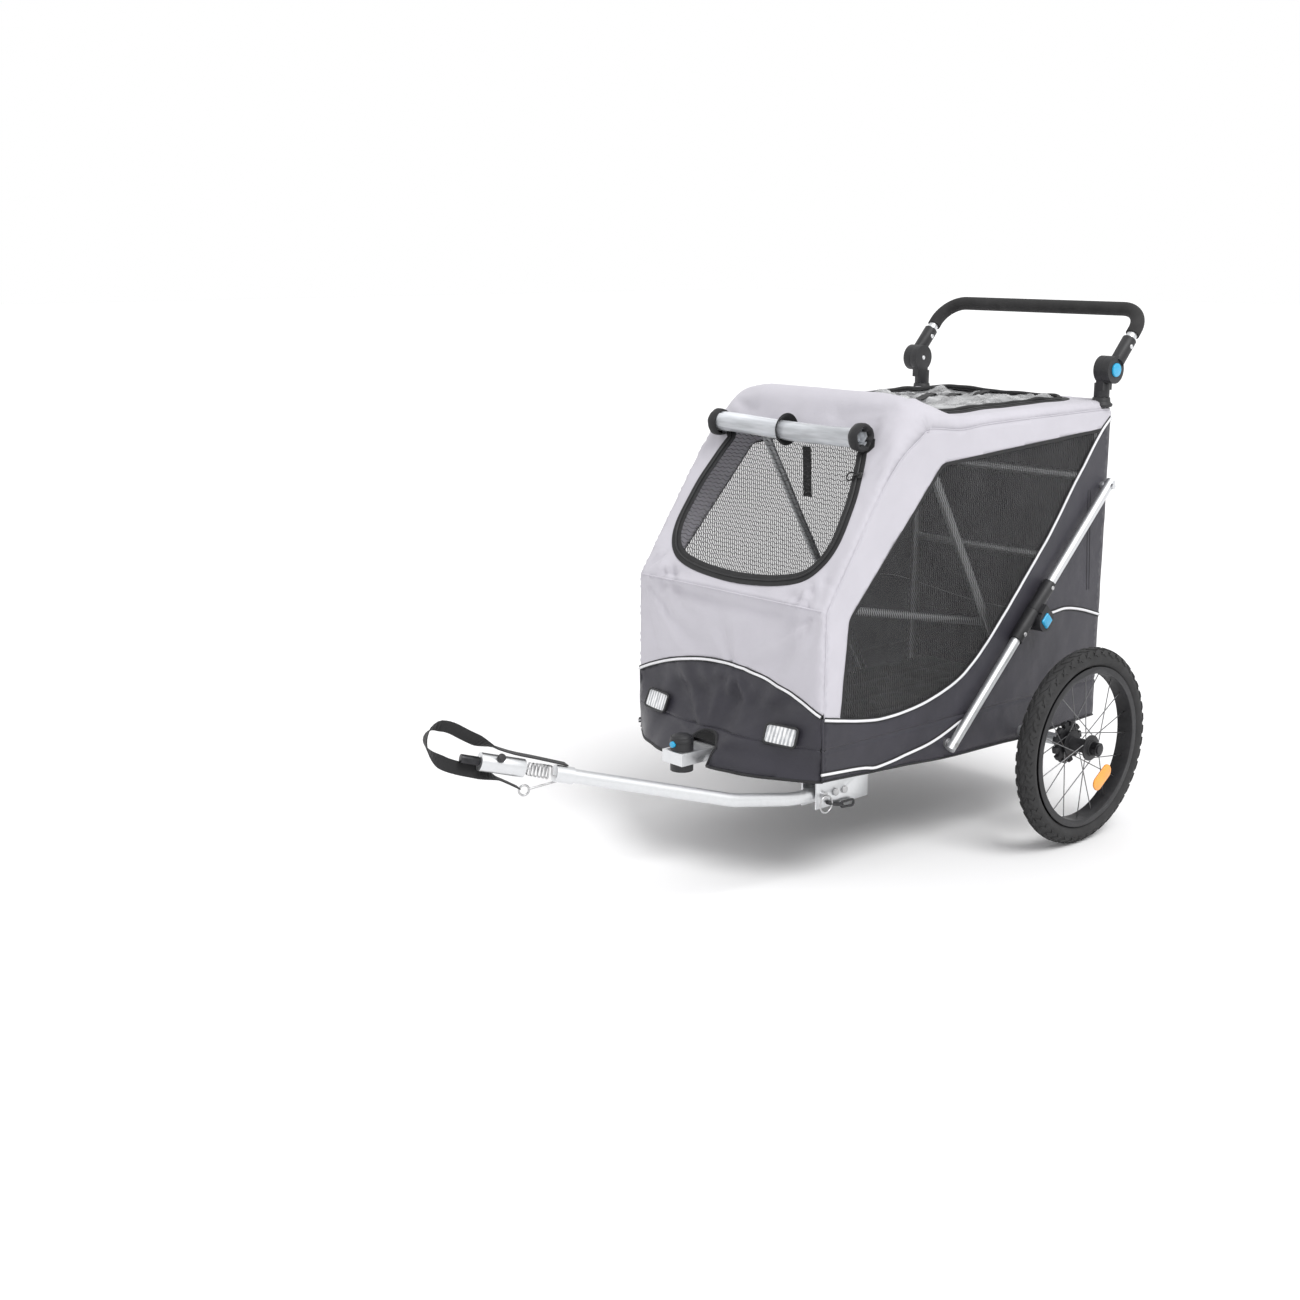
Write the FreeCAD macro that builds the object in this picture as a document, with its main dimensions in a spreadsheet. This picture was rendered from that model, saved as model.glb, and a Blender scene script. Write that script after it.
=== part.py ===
# Dog bike trailer: a folding two-wheel trailer with a fabric cabin, push handle and tow bar.
# Frame: the front faces -Y, the trailer's left side is +X, +Z is up and the tyres stand on z = 0.
# Lengths are in millimetres. Lengthwise places are counted from the axle, which lies at axle_place.
import FreeCAD, Part
import math
import os
import re
import Sketcher

Vec = FreeCAD.Vector
doc = FreeCAD.newDocument("DogBikeTrailer")
sheet = doc.addObject("Spreadsheet::Sheet", "Sizes")

SIZES = {
    # Whole part
    "axle_place": 476.72,
    "run_gap": 0.05,
    "body_gap": 0.3,
    "cut_over": 5,
    # Wheels
    "wheel_diameter": 400,
    "wheel_offset": 403,
    "tyre_section": 42,
    "tyre_wall": 4,
    "rim_half_width": 18,
    "rim_depth": 8,
    "rim_flange_height": 5.5,
    "rim_flange_wall": 2.2,
    "rim_seat_gap": 0.5,
    "spoke_diameter": 2,
    "hub_half_length": 29,
    "hub_radius": 14,
    "hub_end_radius": 16,
    "hub_end_length": 5,
    "flange_radius": 26,
    "flange_width": 4,
    "brake_ring_radius": 43,
    "brake_ring_width": 11,
    "brake_notch_depth": 9,
    "brake_notch_width": 8,
    "wheel_reflector_radius": 90,
    "wheel_reflector_length": 62,
    "wheel_reflector_height": 30,
    "wheel_reflector_depth": 4,
    "wheel_reflector_stand": 15.5,
    "wheel_reflector_bend": 14,
    "wheel_reflector_turn": 36,
    # Axle
    "axle_radius": 8,
    "axle_tube_radius": 12,
    "axle_tube_half": 350,
    "axle_insert": 60,
    "axle_cap_radius": 14,
    "axle_cap_length": 13,
    "axle_button_radius": 9,
    "axle_button_stand": 3,
    "axle_button_length": 8,
    "axle_button_travel": 4,
    "clamp_half_length": 22,
    "clamp_wall": 6,
    # Base frame
    "rail_outer": 217,
    "rail_width": 22,
    "rail_bottom": 213,
    "rail_height": 22,
    "rail_wall": 2,
    "rail_rear": 248,
    "rail_front": 545,
    "nose_half": 120,
    "nose_reach": 655,
    "rail_rear_bend": 30,
    "rail_front_bend": 90,
    "nose_bend": 130,
    "floor_lap": 7,
    "floor_thick": 5,
    "mat_thick": 18,
    "mat_inset": 12,
    "mat_front": 520,
    # Fold pivots
    "bracket_reach": 11.5,
    "lug_thick": 5,
    "bracket_half": 14,
    "pivot_pin": 5,
    "bow_pin": 4,
    "fold_pivot_place": 235,
    "fold_pivot_height": 208,
    "bow_pivot_place": 30,
    "bow_pivot_height": 250,
    "brace_foot_place": 238,
    "brace_foot_height": 218,
    "brace_foot_radius": 10,
    # Rear frame
    "upright_offset": 240,
    "upright_radius": 11,
    "upright_wall": 1.6,
    "upright_tuck": 35,
    "upright_plug": 26,
    "upright_end": 8,
    "brace_head_drop": 238,
    "brace_stub_radius": 8,
    "cross_bar_radius": 9,
    "low_bar_height": 520,
    "high_bar_drop": 225,
    # Roof and nose bows
    "bow_offset": 214,
    "bow_radius": 9,
    "bow_wall": 1.5,
    "bow_plug": 20,
    "roof_bow_lean": 120.5,
    "roof_bow_length": 735,
    "roof_bow_bend": 60,
    "nose_bow_offset": 194,
    "nose_bow_radius": 8,
    "nose_pivot_along": 208,
    "nose_bow_lean": 169,
    "nose_bow_length": 512,
    "nose_bow_bend": 45,
    # Braces
    "brace_stand": 30,
    "brace_radius": 10,
    "brace_wall": 1.5,
    "brace_plug": 32,
    "brace_end": 13,
    "knee_offset": 26,
    "knee_ear_radius": 23,
    "knee_tube_stop": 22,
    "knee_ear_half": 5,
    "knee_sleeve_radius": 14,
    "knee_sleeve_length": 73,
    "knee_neck_length": 22,
    "knee_neck_drop": 8,
    "knee_outer_reach": 22,
    "knee_inner_reach": 15,
    "knee_button_half": 12.5,
    "knee_button_length": 8,
    "knee_button_stand": 3.5,
    "knee_button_travel": 3,
    "knee_relief": 0.5,
    "brace_bolt_radius": 6,
    "brace_bolt_head": 4,
    # Handle
    "hinge_place": 234,
    "hinge_height": 925,
    "hinge_offset": 254,
    "hinge_radius": 28,
    "hinge_half_width": 18,
    "hinge_pin": 6,
    "hinge_pin_length": 6,
    "hinge_sleeve_radius": 16,
    "hinge_sleeve_length": 28,
    "handle_offset": 263,
    "handle_tilt": 47.5,
    "handle_length": 161,
    "handle_bend": 55,
    "handle_radius": 11,
    "handle_wall": 1.5,
    "handle_seat": 36,
    "arm_radius": 15,
    "arm_start": 20,
    "arm_end": 80,
    "grip_radius": 14.5,
    "grip_start": 94,
    "handle_button_radius": 14,
    "handle_button_length": 8,
    "handle_button_stand": 4,
    "handle_button_travel": 3,
    # Cabin cover
    "cover_half": 254,
    "cloth_thick": 2,
    "cover_rear": 252,
    "cover_low": 190,
    "roof_rear_drop": 63,
    "roof_front_height": 850,
    "roof_front_place": 385,
    "nose_place": 600,
    "nose_top_height": 529,
    "nose_split_height": 325,
    "skirt_height": 268,
    "skirt_front_low": 209,
    "skirt_middle_low": 182,
    "nose_hem": 686,
    "nose_hem_corner": 592,
    "nose_hem_height": 207,
    "boot_half": 14,
    "boot_height": 22.7,
    "window_edge_front": 548,
    "window_low_front": 323,
    "window_rise_place": 530,
    "window_rise_height": 500,
    "window_top_place": 290,
    "window_top_height": 768,
    "window_rear_place": 228,
    "window_bend": 22,
    "seam_dip_place": 436,
    "seam_dip_height": 301,
    "seam_turn_place": 205,
    "seam_turn_height": 308,
    "seam_rear_drop": 34,
    "seam_dip_bend": 150,
    "seam_turn_bend": 330,
    "hole_gap": 2,
    # Front mesh door and roof window, lengths along their own slopes
    "door_low": 32,
    "door_length": 298,
    "door_half": 200,
    "door_bend": 60,
    "hatch_start": 165,
    "hatch_length": 420,
    "hatch_half": 185,
    "hatch_bend": 45,
    # Hump of the roof over the roof bow
    "hump_rise": 52,
    "hump_foot": 150,
    "hump_bend": 58,
    "hump_lap": 10,
    # Rolled rain cover
    "roll_radius": 22,
    "roll_half": 195,
    "roll_along": 336,
    # Front wheel socket
    "socket_place": 712,
    "socket_radius": 22,
    "socket_low": 198,
    "socket_height": 66,
    "socket_bore": 10.5,
    "socket_bore_depth": 50,
    "clamp_low": 214,
    "clamp_high": 238,
    "clamp_side": 28,
    "clamp_front": 14,
    "socket_button_radius": 6,
    "socket_button_height": 252,
    "socket_button_length": 9,
    "socket_button_stand": 5,
    "socket_button_travel": 3,
    # Front reflectors
    "reflector_length": 76,
    "reflector_height": 42,
    "reflector_thick": 7,
    "reflector_offset": 172,
    "reflector_middle": 284,
    "reflector_bend": 9,
    # Tow bracket and tow bar
    "tow_offset": 224,
    "tow_half_width": 19,
    "tow_plate": 3,
    "tow_front": 597,
    "tow_rear": 455,
    "tow_low": 153,
    "tow_height": 178,
    "tow_bolt": 4,
    "tow_bolt_head": 7,
    "tow_bolt_head_length": 4,
    "tow_bolt_front": 546,
    "tow_bolt_rear": 522,
    "tow_pin_place": 578,
    "tow_pin_knob": 7,
    "tow_pin_knob_length": 6,
    "pin_ring_radius": 16,
    "pin_ring_wire": 1.6,
    "bar_radius": 12.5,
    "bar_wall": 2,
    "bar_rear": 500,
    "bar_level": 640,
    "bar_bend_offset": 205,
    "bar_bend_place": 775,
    "bar_bend_height": 200,
    "bar_end_offset": 100,
    "bar_end_place": 1085,
    "bar_end_height": 287,
    "bar_first_radius": 200,
    "bar_second_radius": 140,
    # Hitch, lengths along the bar's last run
    "bar_collar_radius": 15,
    "bar_collar_back": 22,
    "bar_collar_front": 12,
    "spring_length": 58,
    "spring_radius": 10.5,
    "spring_wire": 1.7,
    "housing_radius": 16,
    "housing_length": 80,
    "tongue_radius": 8,
    "tongue_neck_radius": 7,
    "tongue_shoulder": 2,
    "tongue_insert": 34,
    "tongue_stand": 34,
    "knob_along": 48,
    "knob_stem": 3.5,
    "knob_radius": 7,
    "knob_rise": 7,
    "knob_length": 9,
    "knob_sink": 5,
    # Safety strap
    "strap_width": 24,
    "strap_thick": 2,
    "strap_side": 8,
    "hook_wire": 2,
    "hook_radius": 9,
}
SPOKES = 20
BRAKE_NOTCHES = 12
SPRING_TURNS = 6
SPOKE_SLANT = 40

for row, (alias, number) in enumerate(SIZES.items(), start=1):
    sheet.set("A%d" % row, alias)
    sheet.set("B%d" % row, str(number))
    sheet.setAlias("B%d" % row, alias)
doc.recompute()

WORDS = re.compile(r"[a-z][a-z_]*")
NODES = []


def bound(text):
    """The text as an expression on the sheet's cells."""
    return WORDS.sub(lambda m: "Sizes." + m.group() if m.group() in SIZES else m.group(), text)


def size(text):
    """The present value of an expression on the sheet's cells."""
    return float(sheet.evalExpression(bound(text)))


def bind(thing, **sizes):
    """Bind properties of an object to expressions."""
    for name, text in sizes.items():
        thing.setExpression(name, bound(text))


def node(thing, label):
    """Name a finished sub-part."""
    thing.Label = label
    NODES.append(thing)
    return thing


def place(thing, along="0", height="0", turn=None):
    """Put an object at a place counted from the axle, turned about the X axis."""
    if turn is not None:
        thing.Placement = FreeCAD.Placement(Vec(), FreeCAD.Rotation(Vec(1, 0, 0), 1))
        thing.setExpression("Placement.Rotation.Angle", bound(turn))
    thing.setExpression("Placement.Base.y", bound("axle_place + (%s)" % along))
    thing.setExpression("Placement.Base.z", bound(height))
    return thing


# Sketches and bodies

def new_body(name, along="0", height="0", turn=None):
    """A body at a place counted from the axle, or at the origin where the place is None."""
    body = doc.addObject("PartDesign::Body", name)
    return body if along is None else place(body, along, height, turn)


def new_sketch(body, name, role, offset="0"):
    sketch = body.newObject("Sketcher::SketchObject", name)
    plane = next(f for f in body.Origin.OriginFeatures if f.Role == role)
    sketch.AttachmentSupport = [(plane, "")]
    sketch.MapMode = "FlatFace"
    sketch.setExpression("AttachmentOffset.Base.z", bound(offset))
    return sketch


def fix(sketch, geo, pos, across, up):
    """Hold one point of a sketch at bound distances from its origin."""
    for kind, text in (("DistanceX", across), ("DistanceY", up)):
        index = sketch.addConstraint(Sketcher.Constraint(kind, -1, 1, geo, pos, size(text)))
        sketch.setExpression("Constraints[%d]" % index, bound(text))


def circle(sketch, across, up, radius):
    geo = sketch.addGeometry(Part.Circle(Vec(size(across), size(up), 0), Vec(0, 0, 1), size(radius)))
    fix(sketch, geo, 3, across, up)
    index = sketch.addConstraint(Sketcher.Constraint("Radius", geo, size(radius)))
    sketch.setExpression("Constraints[%d]" % index, bound(radius))


def outline(sketch, corners, bends=None, closed=True):
    """Straight sides through bound corners, each corner sharp or rounded by a bound radius."""
    count = len(corners)
    bends = bends or [None] * count
    points = [Vec(size(x), size(y), 0) for x, y in corners]
    starts = list(points)
    ends = list(points)
    arcs = {}
    for i, bend in enumerate(bends):
        if bend is None:
            continue
        back = (points[i - 1] - points[i]).normalize()
        ahead = (points[(i + 1) % count] - points[i]).normalize()
        half = back.getAngle(ahead) / 2
        ends[i] = points[i] + back * (size(bend) / math.tan(half))
        starts[i] = points[i] + ahead * (size(bend) / math.tan(half))
        arcs[i] = points[i] + (back + ahead).normalize() * (size(bend) / math.sin(half))
    runs = count if closed else count - 1
    lines = [sketch.addGeometry(Part.LineSegment(starts[i], ends[(i + 1) % count])) for i in range(runs)]
    for i in range(count):
        before = lines[i - 1] if closed or i > 0 else None
        after = lines[i] if i < runs else None
        if i not in arcs:
            if before is not None and after is not None:
                sketch.addConstraint(Sketcher.Constraint("Coincident", before, 2, after, 1))
            if after is None:
                fix(sketch, before, 2, *corners[i])
            else:
                fix(sketch, after, 1, *corners[i])
            continue
        middle = arcs[i]
        angle_in = math.atan2(ends[i].y - middle.y, ends[i].x - middle.x)
        angle_out = math.atan2(starts[i].y - middle.y, starts[i].x - middle.x)
        left = (ends[i] - points[i]).cross(starts[i] - points[i]).z < 0
        span = (angle_in, angle_out) if left else (angle_out, angle_in)
        ring = Part.Circle(middle, Vec(0, 0, 1), size(bends[i]))
        arc = sketch.addGeometry(Part.ArcOfCircle(ring, *span))
        first, last = (1, 2) if left else (2, 1)
        sketch.addConstraint(Sketcher.Constraint("Tangent", before, 2, arc, first))
        sketch.addConstraint(Sketcher.Constraint("Tangent", arc, last, after, 1))
        index = sketch.addConstraint(Sketcher.Constraint("Radius", arc, size(bends[i])))
        sketch.setExpression("Constraints[%d]" % index, bound(bends[i]))
        corner = sketch.addGeometry(Part.Point(points[i]), True)
        fix(sketch, corner, 1, *corners[i])
        sketch.addConstraint(Sketcher.Constraint("PointOnObject", corner, 1, before))
        sketch.addConstraint(Sketcher.Constraint("PointOnObject", corner, 1, after))


def pad(body, sketch, length, both=False):
    feature = body.newObject("PartDesign::Pad", sketch.Name + "Pad")
    feature.Profile = sketch
    feature.Midplane = both
    bind(feature, Length=length)
    return feature


def pocket(body, sketch, length, reverse=False):
    feature = body.newObject("PartDesign::Pocket", sketch.Name + "Pocket")
    feature.Profile = sketch
    feature.Reversed = reverse
    bind(feature, Length=length)
    return feature


def revolve(body, sketch):
    feature = body.newObject("PartDesign::Revolution", sketch.Name + "Turn")
    feature.Profile = sketch
    feature.ReferenceAxis = (sketch, ["H_Axis"])
    feature.Angle = 360
    return feature


def bow_pipe(name, half, start, length, bend, outer, inner, along, height, lean):
    """A tube bent to a U in its own XY plane, open towards -Y."""
    body = new_body(name, along, height, lean)
    path = new_sketch(body, name + "Path", "XY_Plane")
    corners = [("-(%s)" % half, start), ("-(%s)" % half, length), (half, length), (half, start)]
    outline(path, corners, [None, bend, bend, None], closed=False)
    ring = new_sketch(body, name + "Ring", "XZ_Plane", "-(%s)" % start)
    circle(ring, "-(%s)" % half, "0", outer)
    circle(ring, "-(%s)" % half, "0", inner)
    doc.recompute()
    pipe = body.newObject("PartDesign::AdditivePipe", name + "Pipe")
    pipe.Profile = ring
    pipe.Spine = (path, ["Edge%d" % (i + 1) for i in range(len(path.Shape.Edges))])
    pipe.Transition = "Transformed"
    return body


# Primitives and booleans

TURNS = {
    "x": FreeCAD.Rotation(Vec(0, 1, 0), 90),
    "y": FreeCAD.Rotation(Vec(1, 0, 0), -90),
    "z": FreeCAD.Rotation(),
}


def locate(thing, at):
    for axis, text in zip("xyz", at):
        thing.setExpression("Placement.Base.%s" % axis, bound(text))
    return thing


def rod(name, radius, length, at, along):
    """A cylinder that starts at a point and runs along one axis."""
    thing = doc.addObject("Part::Cylinder", name)
    thing.Placement = FreeCAD.Placement(Vec(), TURNS[along])
    bind(thing, Radius=radius, Height=length)
    return locate(thing, at)


def block(name, low, high):
    """A box between two corners."""
    thing = doc.addObject("Part::Box", name)
    spans = ["(%s) - (%s)" % (b, a) for a, b in zip(low, high)]
    bind(thing, Length=spans[0], Width=spans[1], Height=spans[2])
    return locate(thing, low)


def fuse(name, things):
    thing = doc.addObject("Part::MultiFuse", name)
    thing.Shapes = things
    thing.Refine = True
    return thing


def shared(name, things):
    thing = doc.addObject("Part::MultiCommon", name)
    thing.Shapes = things
    return thing


def cut(name, base, tools):
    thing = doc.addObject("Part::Cut", name)
    thing.Base = base
    thing.Tool = tools[0] if len(tools) == 1 else fuse(name + "Tools", tools)
    thing.Refine = True
    return thing


def wrap(name, things):
    """Pieces that keep their own places inside one placed group."""
    thing = doc.addObject("Part::Compound", name)
    thing.Links = things
    return thing


def mirror(thing):
    other = doc.addObject("Part::Mirroring", thing.Name + "Right")
    other.Source = thing
    other.Normal = Vec(1, 0, 0)
    return other


def group(label, things):
    return node(wrap(label, things), label)


def pair(label, things):
    """A node of left pieces and their mirror images."""
    return group(label, things + [mirror(thing) for thing in things])


def solid(label, shape):
    """A node whose shape is built from the sheet's values."""
    thing = doc.addObject("Part::Feature", label)
    thing.Shape = shape
    thing.Placement = FreeCAD.Placement(Vec(0, size("axle_place"), 0), FreeCAD.Rotation())
    return node(thing, label)


# Wheels, each turned about its own axle line

def turned(name, corners=None, rings=None):
    body = new_body(name, "0", "wheel_diameter / 2")
    sketch = new_sketch(body, name + "Section", "XY_Plane")
    if corners:
        outline(sketch, corners)
    for ring in rings or []:
        circle(sketch, *ring)
    revolve(body, sketch)
    return body


TYRE_MIDDLE = "wheel_diameter / 2 - tyre_section / 2"
RIM_FLOOR = "wheel_diameter / 2 - tyre_section - rim_seat_gap"
RIM_INNER = RIM_FLOOR + " - rim_depth"
BORE = "axle_radius + run_gap"
HUB_INNER = "wheel_offset - hub_half_length"
HUB_OUTER = "wheel_offset + hub_half_length"

tyre = turned("Tyre", rings=[
    ("wheel_offset", TYRE_MIDDLE, "tyre_section / 2"),
    ("wheel_offset", TYRE_MIDDLE, "tyre_section / 2 - tyre_wall"),
])
rim_edge = "rim_half_width - rim_flange_wall"
rim_top = RIM_FLOOR + " + rim_flange_height"
rim = turned("Rim", corners=[
    ("wheel_offset - rim_half_width", RIM_INNER),
    ("wheel_offset + rim_half_width", RIM_INNER),
    ("wheel_offset + rim_half_width", rim_top),
    ("wheel_offset + %s" % rim_edge, rim_top),
    ("wheel_offset + %s" % rim_edge, RIM_FLOOR),
    ("wheel_offset - (%s)" % rim_edge, RIM_FLOOR),
    ("wheel_offset - (%s)" % rim_edge, rim_top),
    ("wheel_offset - rim_half_width", rim_top),
])
FLANGE_OUT = "hub_half_length - hub_end_length"
FLANGE_IN = FLANGE_OUT + " - flange_width"
hub_side = [
    ("hub_half_length", "hub_end_radius"),
    (FLANGE_OUT, "hub_end_radius"),
    (FLANGE_OUT, "flange_radius"),
    (FLANGE_IN, "flange_radius"),
    (FLANGE_IN, "hub_radius"),
]
hub_shell = turned("HubShell", corners=(
    [(HUB_INNER, BORE), (HUB_OUTER, BORE)]
    + [("wheel_offset + (%s)" % x, r) for x, r in hub_side]
    + [("wheel_offset - (%s)" % x, r) for x, r in reversed(hub_side)]
))
ring_start = HUB_INNER + " - brake_ring_width"
brake_ring = turned("BrakeRing", corners=[
    (ring_start, BORE),
    (HUB_INNER, BORE),
    (HUB_INNER, "brake_ring_radius"),
    (ring_start, "brake_ring_radius"),
])
notch = new_sketch(brake_ring, "BrakeNotch", "YZ_Plane", ring_start)
outline(notch, [
    ("-brake_notch_width / 2", "brake_ring_radius - brake_notch_depth"),
    ("brake_notch_width / 2", "brake_ring_radius - brake_notch_depth"),
    ("brake_notch_width / 2", "brake_ring_radius + cut_over"),
    ("-brake_notch_width / 2", "brake_ring_radius + cut_over"),
])
doc.recompute()
ring_volume = brake_ring.Shape.Volume
notch_cut = pocket(brake_ring, notch, "brake_ring_width", reverse=True)
doc.recompute()
notches = brake_ring.newObject("PartDesign::PolarPattern", "BrakeNotches")
notches.Originals = [notch_cut]
notches.Axis = (notch, ["N_Axis"])
notches.Angle = 360
notches.Occurrences = BRAKE_NOTCHES
brake_ring.Tip = notches
doc.recompute()
assert brake_ring.Shape.Volume < ring_volume

reflector_body = new_body("WheelReflector", "0", "wheel_diameter / 2", "wheel_reflector_turn")
reflector_sketch = new_sketch(
    reflector_body, "WheelReflectorFace", "YZ_Plane", "wheel_offset + wheel_reflector_stand")
half_long = "wheel_reflector_length / 2"
low_edge = "-wheel_reflector_radius - wheel_reflector_height / 2"
high_edge = "-wheel_reflector_radius + wheel_reflector_height / 2"
outline(
    reflector_sketch,
    [("-" + half_long, low_edge), (half_long, low_edge),
     (half_long, high_edge), ("-" + half_long, high_edge)],
    ["wheel_reflector_bend"] * 4)
pad(reflector_body, reflector_sketch, "wheel_reflector_depth")
doc.recompute()


def wheel_spokes():
    """Crossed straight spokes from the two hub flanges to the middle of the rim."""
    start = size("flange_radius + spoke_diameter / 2 + body_gap")
    end = size(RIM_INNER + " - body_gap")
    middle = size("wheel_diameter / 2")
    spokes = []
    for i in range(SPOKES):
        side = 1 if i % 2 else -1
        slant = SPOKE_SLANT if i % 4 < 2 else -SPOKE_SLANT
        angle = math.radians(360 * i / SPOKES)
        root = angle + math.radians(slant)
        flange = size("wheel_offset") + side * size("(%s + %s) / 2" % (FLANGE_OUT, FLANGE_IN))
        low = Vec(flange, start * math.cos(root), middle + start * math.sin(root))
        high = Vec(size("wheel_offset"), end * math.cos(angle), middle + end * math.sin(angle))
        run = high - low
        spokes.append(Part.makeCylinder(size("spoke_diameter / 2"), run.Length, low, run))
    return Part.makeCompound(spokes)


axle_in = "wheel_offset - hub_half_length - brake_ring_width - axle_insert"
cap_in = HUB_OUTER + " + body_gap"
cap_out = cap_in + " + axle_cap_length"
button_in = cap_out + " + axle_button_stand - axle_button_length"
AXLE_LINE = ("0", "wheel_diameter / 2")
axle_rod = rod("AxleRod", "axle_radius", "%s - (%s)" % (cap_in, axle_in), (axle_in,) + AXLE_LINE, "x")
axle_cap = rod("AxleCap", "axle_cap_radius", "axle_cap_length", (cap_in,) + AXLE_LINE, "x")
button_room = rod(
    "AxleButtonRoom", "axle_button_radius + body_gap",
    "axle_button_length - axle_button_stand + axle_button_travel + body_gap + cut_over",
    (button_in + " - axle_button_travel - body_gap",) + AXLE_LINE, "x")
axle = place(cut("WheelAxle", fuse("AxleWhole", [axle_rod, axle_cap]), [button_room]))
axle_button = place(rod(
    "AxleButton", "axle_button_radius", "axle_button_length", (button_in,) + AXLE_LINE, "x"))
axle_button.setExpression("Placement.Base.z", bound("wheel_diameter / 2"))

node(tyre, "left_tyre")
node(rim, "left_rim")
node(reflector_body, "left_wheel_reflector")
node(axle_button, "left_axle_button")
left_hub = group("left_hub", [hub_shell, brake_ring])
left_spokes = solid("left_spokes", wheel_spokes())
for piece in (tyre, rim, left_hub, left_spokes, reflector_body, axle_button):
    node(mirror(piece), piece.Label.replace("left", "right"))
pair("wheel_axles", [axle])

# Axle tube and its clamps under the side rails
tube = rod(
    "AxleTubeOuter", "axle_tube_radius", "axle_tube_half * 2", ("-axle_tube_half",) + AXLE_LINE, "x")
tube_bore = rod(
    "AxleTubeBore", BORE, "(axle_tube_half + cut_over) * 2", ("-axle_tube_half - cut_over",) + AXLE_LINE, "x")
node(place(cut("AxleTube", tube, [tube_bore])), "axle_tube")
clamp_block = block(
    "ClampBlock",
    ("rail_outer - rail_width", "-clamp_half_length", "wheel_diameter / 2 - axle_tube_radius - clamp_wall"),
    ("rail_outer", "clamp_half_length", "rail_bottom"))
clamp_bore = rod(
    "ClampBore", "axle_tube_radius + run_gap", "rail_width + cut_over * 2",
    ("rail_outer - rail_width - cut_over",) + AXLE_LINE, "x")
pair("axle_clamps", [place(cut("AxleClamp", clamp_block, [clamp_bore]))])

# Base frame: a closed channel with a bowed front


def base_corners(inset):
    side = "rail_outer - (%s)" % inset
    bow = "nose_half - (%s) / 2" % inset
    front = "-rail_front + (%s) / 2" % inset
    tip = "-nose_reach + (%s)" % inset
    rear = "rail_rear - (%s)" % inset
    half = [(side, rear), (side, front), (bow, tip)]
    return half + [("-(%s)" % x, y) for x, y in reversed(half)]


def base_bends(inset):
    half = [bend + " - (%s)" % inset for bend in ("rail_rear_bend", "rail_front_bend", "nose_bend")]
    return half + half[::-1]


def base_ring(sketch, outer, inner):
    outline(sketch, base_corners(outer), base_bends(outer))
    outline(sketch, base_corners(inner), base_bends(inner))


base = new_body("BaseFrame")
base_sketch = new_sketch(base, "BaseRing", "XY_Plane", "rail_bottom")
base_ring(base_sketch, "0", "rail_width")
pad(base, base_sketch, "rail_height")
doc.recompute()
base_volume = base.Shape.Volume
hollow = new_sketch(base, "BaseHollow", "XY_Plane", "rail_bottom")
base_ring(hollow, "rail_wall", "rail_width - rail_wall")
pocket(base, hollow, "rail_height - rail_wall", reverse=True)
doc.recompute()
assert base.Shape.Volume < base_volume
node(base, "base_frame")

floor = new_body("FloorBoard")
floor_sketch = new_sketch(floor, "FloorOutline", "XY_Plane", "rail_bottom + rail_height")
outline(floor_sketch, base_corners("rail_width - floor_lap"), base_bends("rail_width - floor_lap"))
pad(floor, floor_sketch, "floor_thick")
node(floor, "floor_board")

FLOOR_TOP = "rail_bottom + rail_height + floor_thick"
mat = new_body("FloorMat")
mat_sketch = new_sketch(mat, "MatOutline", "XY_Plane", FLOOR_TOP)
mat_side = "rail_outer - rail_width - mat_inset"
mat_rear = "rail_rear - rail_width - mat_inset"
outline(
    mat_sketch,
    [("-(%s)" % mat_side, "-mat_front"), (mat_side, "-mat_front"),
     (mat_side, mat_rear), ("-(%s)" % mat_side, mat_rear)],
    ["mat_inset * 2"] * 4)
pad(mat, mat_sketch, "mat_thick")
node(mat, "floor_mat")

# Fold pivots on the outer faces of the rails
BRACKET_OUT = "rail_outer + bracket_reach"
UPRIGHT_OUT = "upright_offset + upright_radius"
rear_ear = block(
    "RearEar",
    ("rail_outer", "fold_pivot_place - bracket_half", "fold_pivot_height - bracket_half"),
    (BRACKET_OUT, "fold_pivot_place + bracket_half - run_gap", "rail_bottom + rail_height"))
rear_pin = rod(
    "RearPin", "pivot_pin", UPRIGHT_OUT + " - (%s) + lug_thick" % BRACKET_OUT,
    (BRACKET_OUT + " - lug_thick", "fold_pivot_place", "fold_pivot_height"), "x")
bow_lug_in = "bow_offset + bow_radius + body_gap"
bow_foot = block(
    "BowFoot",
    ("rail_outer", "bow_pivot_place - bracket_half", "rail_bottom"),
    (BRACKET_OUT, "bow_pivot_place + bracket_half", "rail_bottom + rail_height"))
bow_lug = block(
    "BowLug",
    (bow_lug_in, "bow_pivot_place - bracket_half", "rail_bottom"),
    (BRACKET_OUT, "bow_pivot_place + bracket_half", "bow_pivot_height + bracket_half"))
bow_pin = rod(
    "BowPin", "bow_pin", "%s - bow_offset + bow_radius" % BRACKET_OUT,
    ("bow_offset - bow_radius", "bow_pivot_place", "bow_pivot_height"), "x")
BRACE_LINE = "upright_offset + brace_stand"
BRACE_IN = BRACE_LINE + " - brace_radius - body_gap"
brace_foot = rod(
    "BraceFoot", "brace_foot_radius", "%s - rail_outer" % BRACE_IN,
    ("rail_outer", "-brace_foot_place", "brace_foot_height"), "x")
brace_pin = rod(
    "BracePin", "pivot_pin", BRACE_LINE + " + brace_radius - rail_outer",
    ("rail_outer", "-brace_foot_place", "brace_foot_height"), "x")
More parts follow.
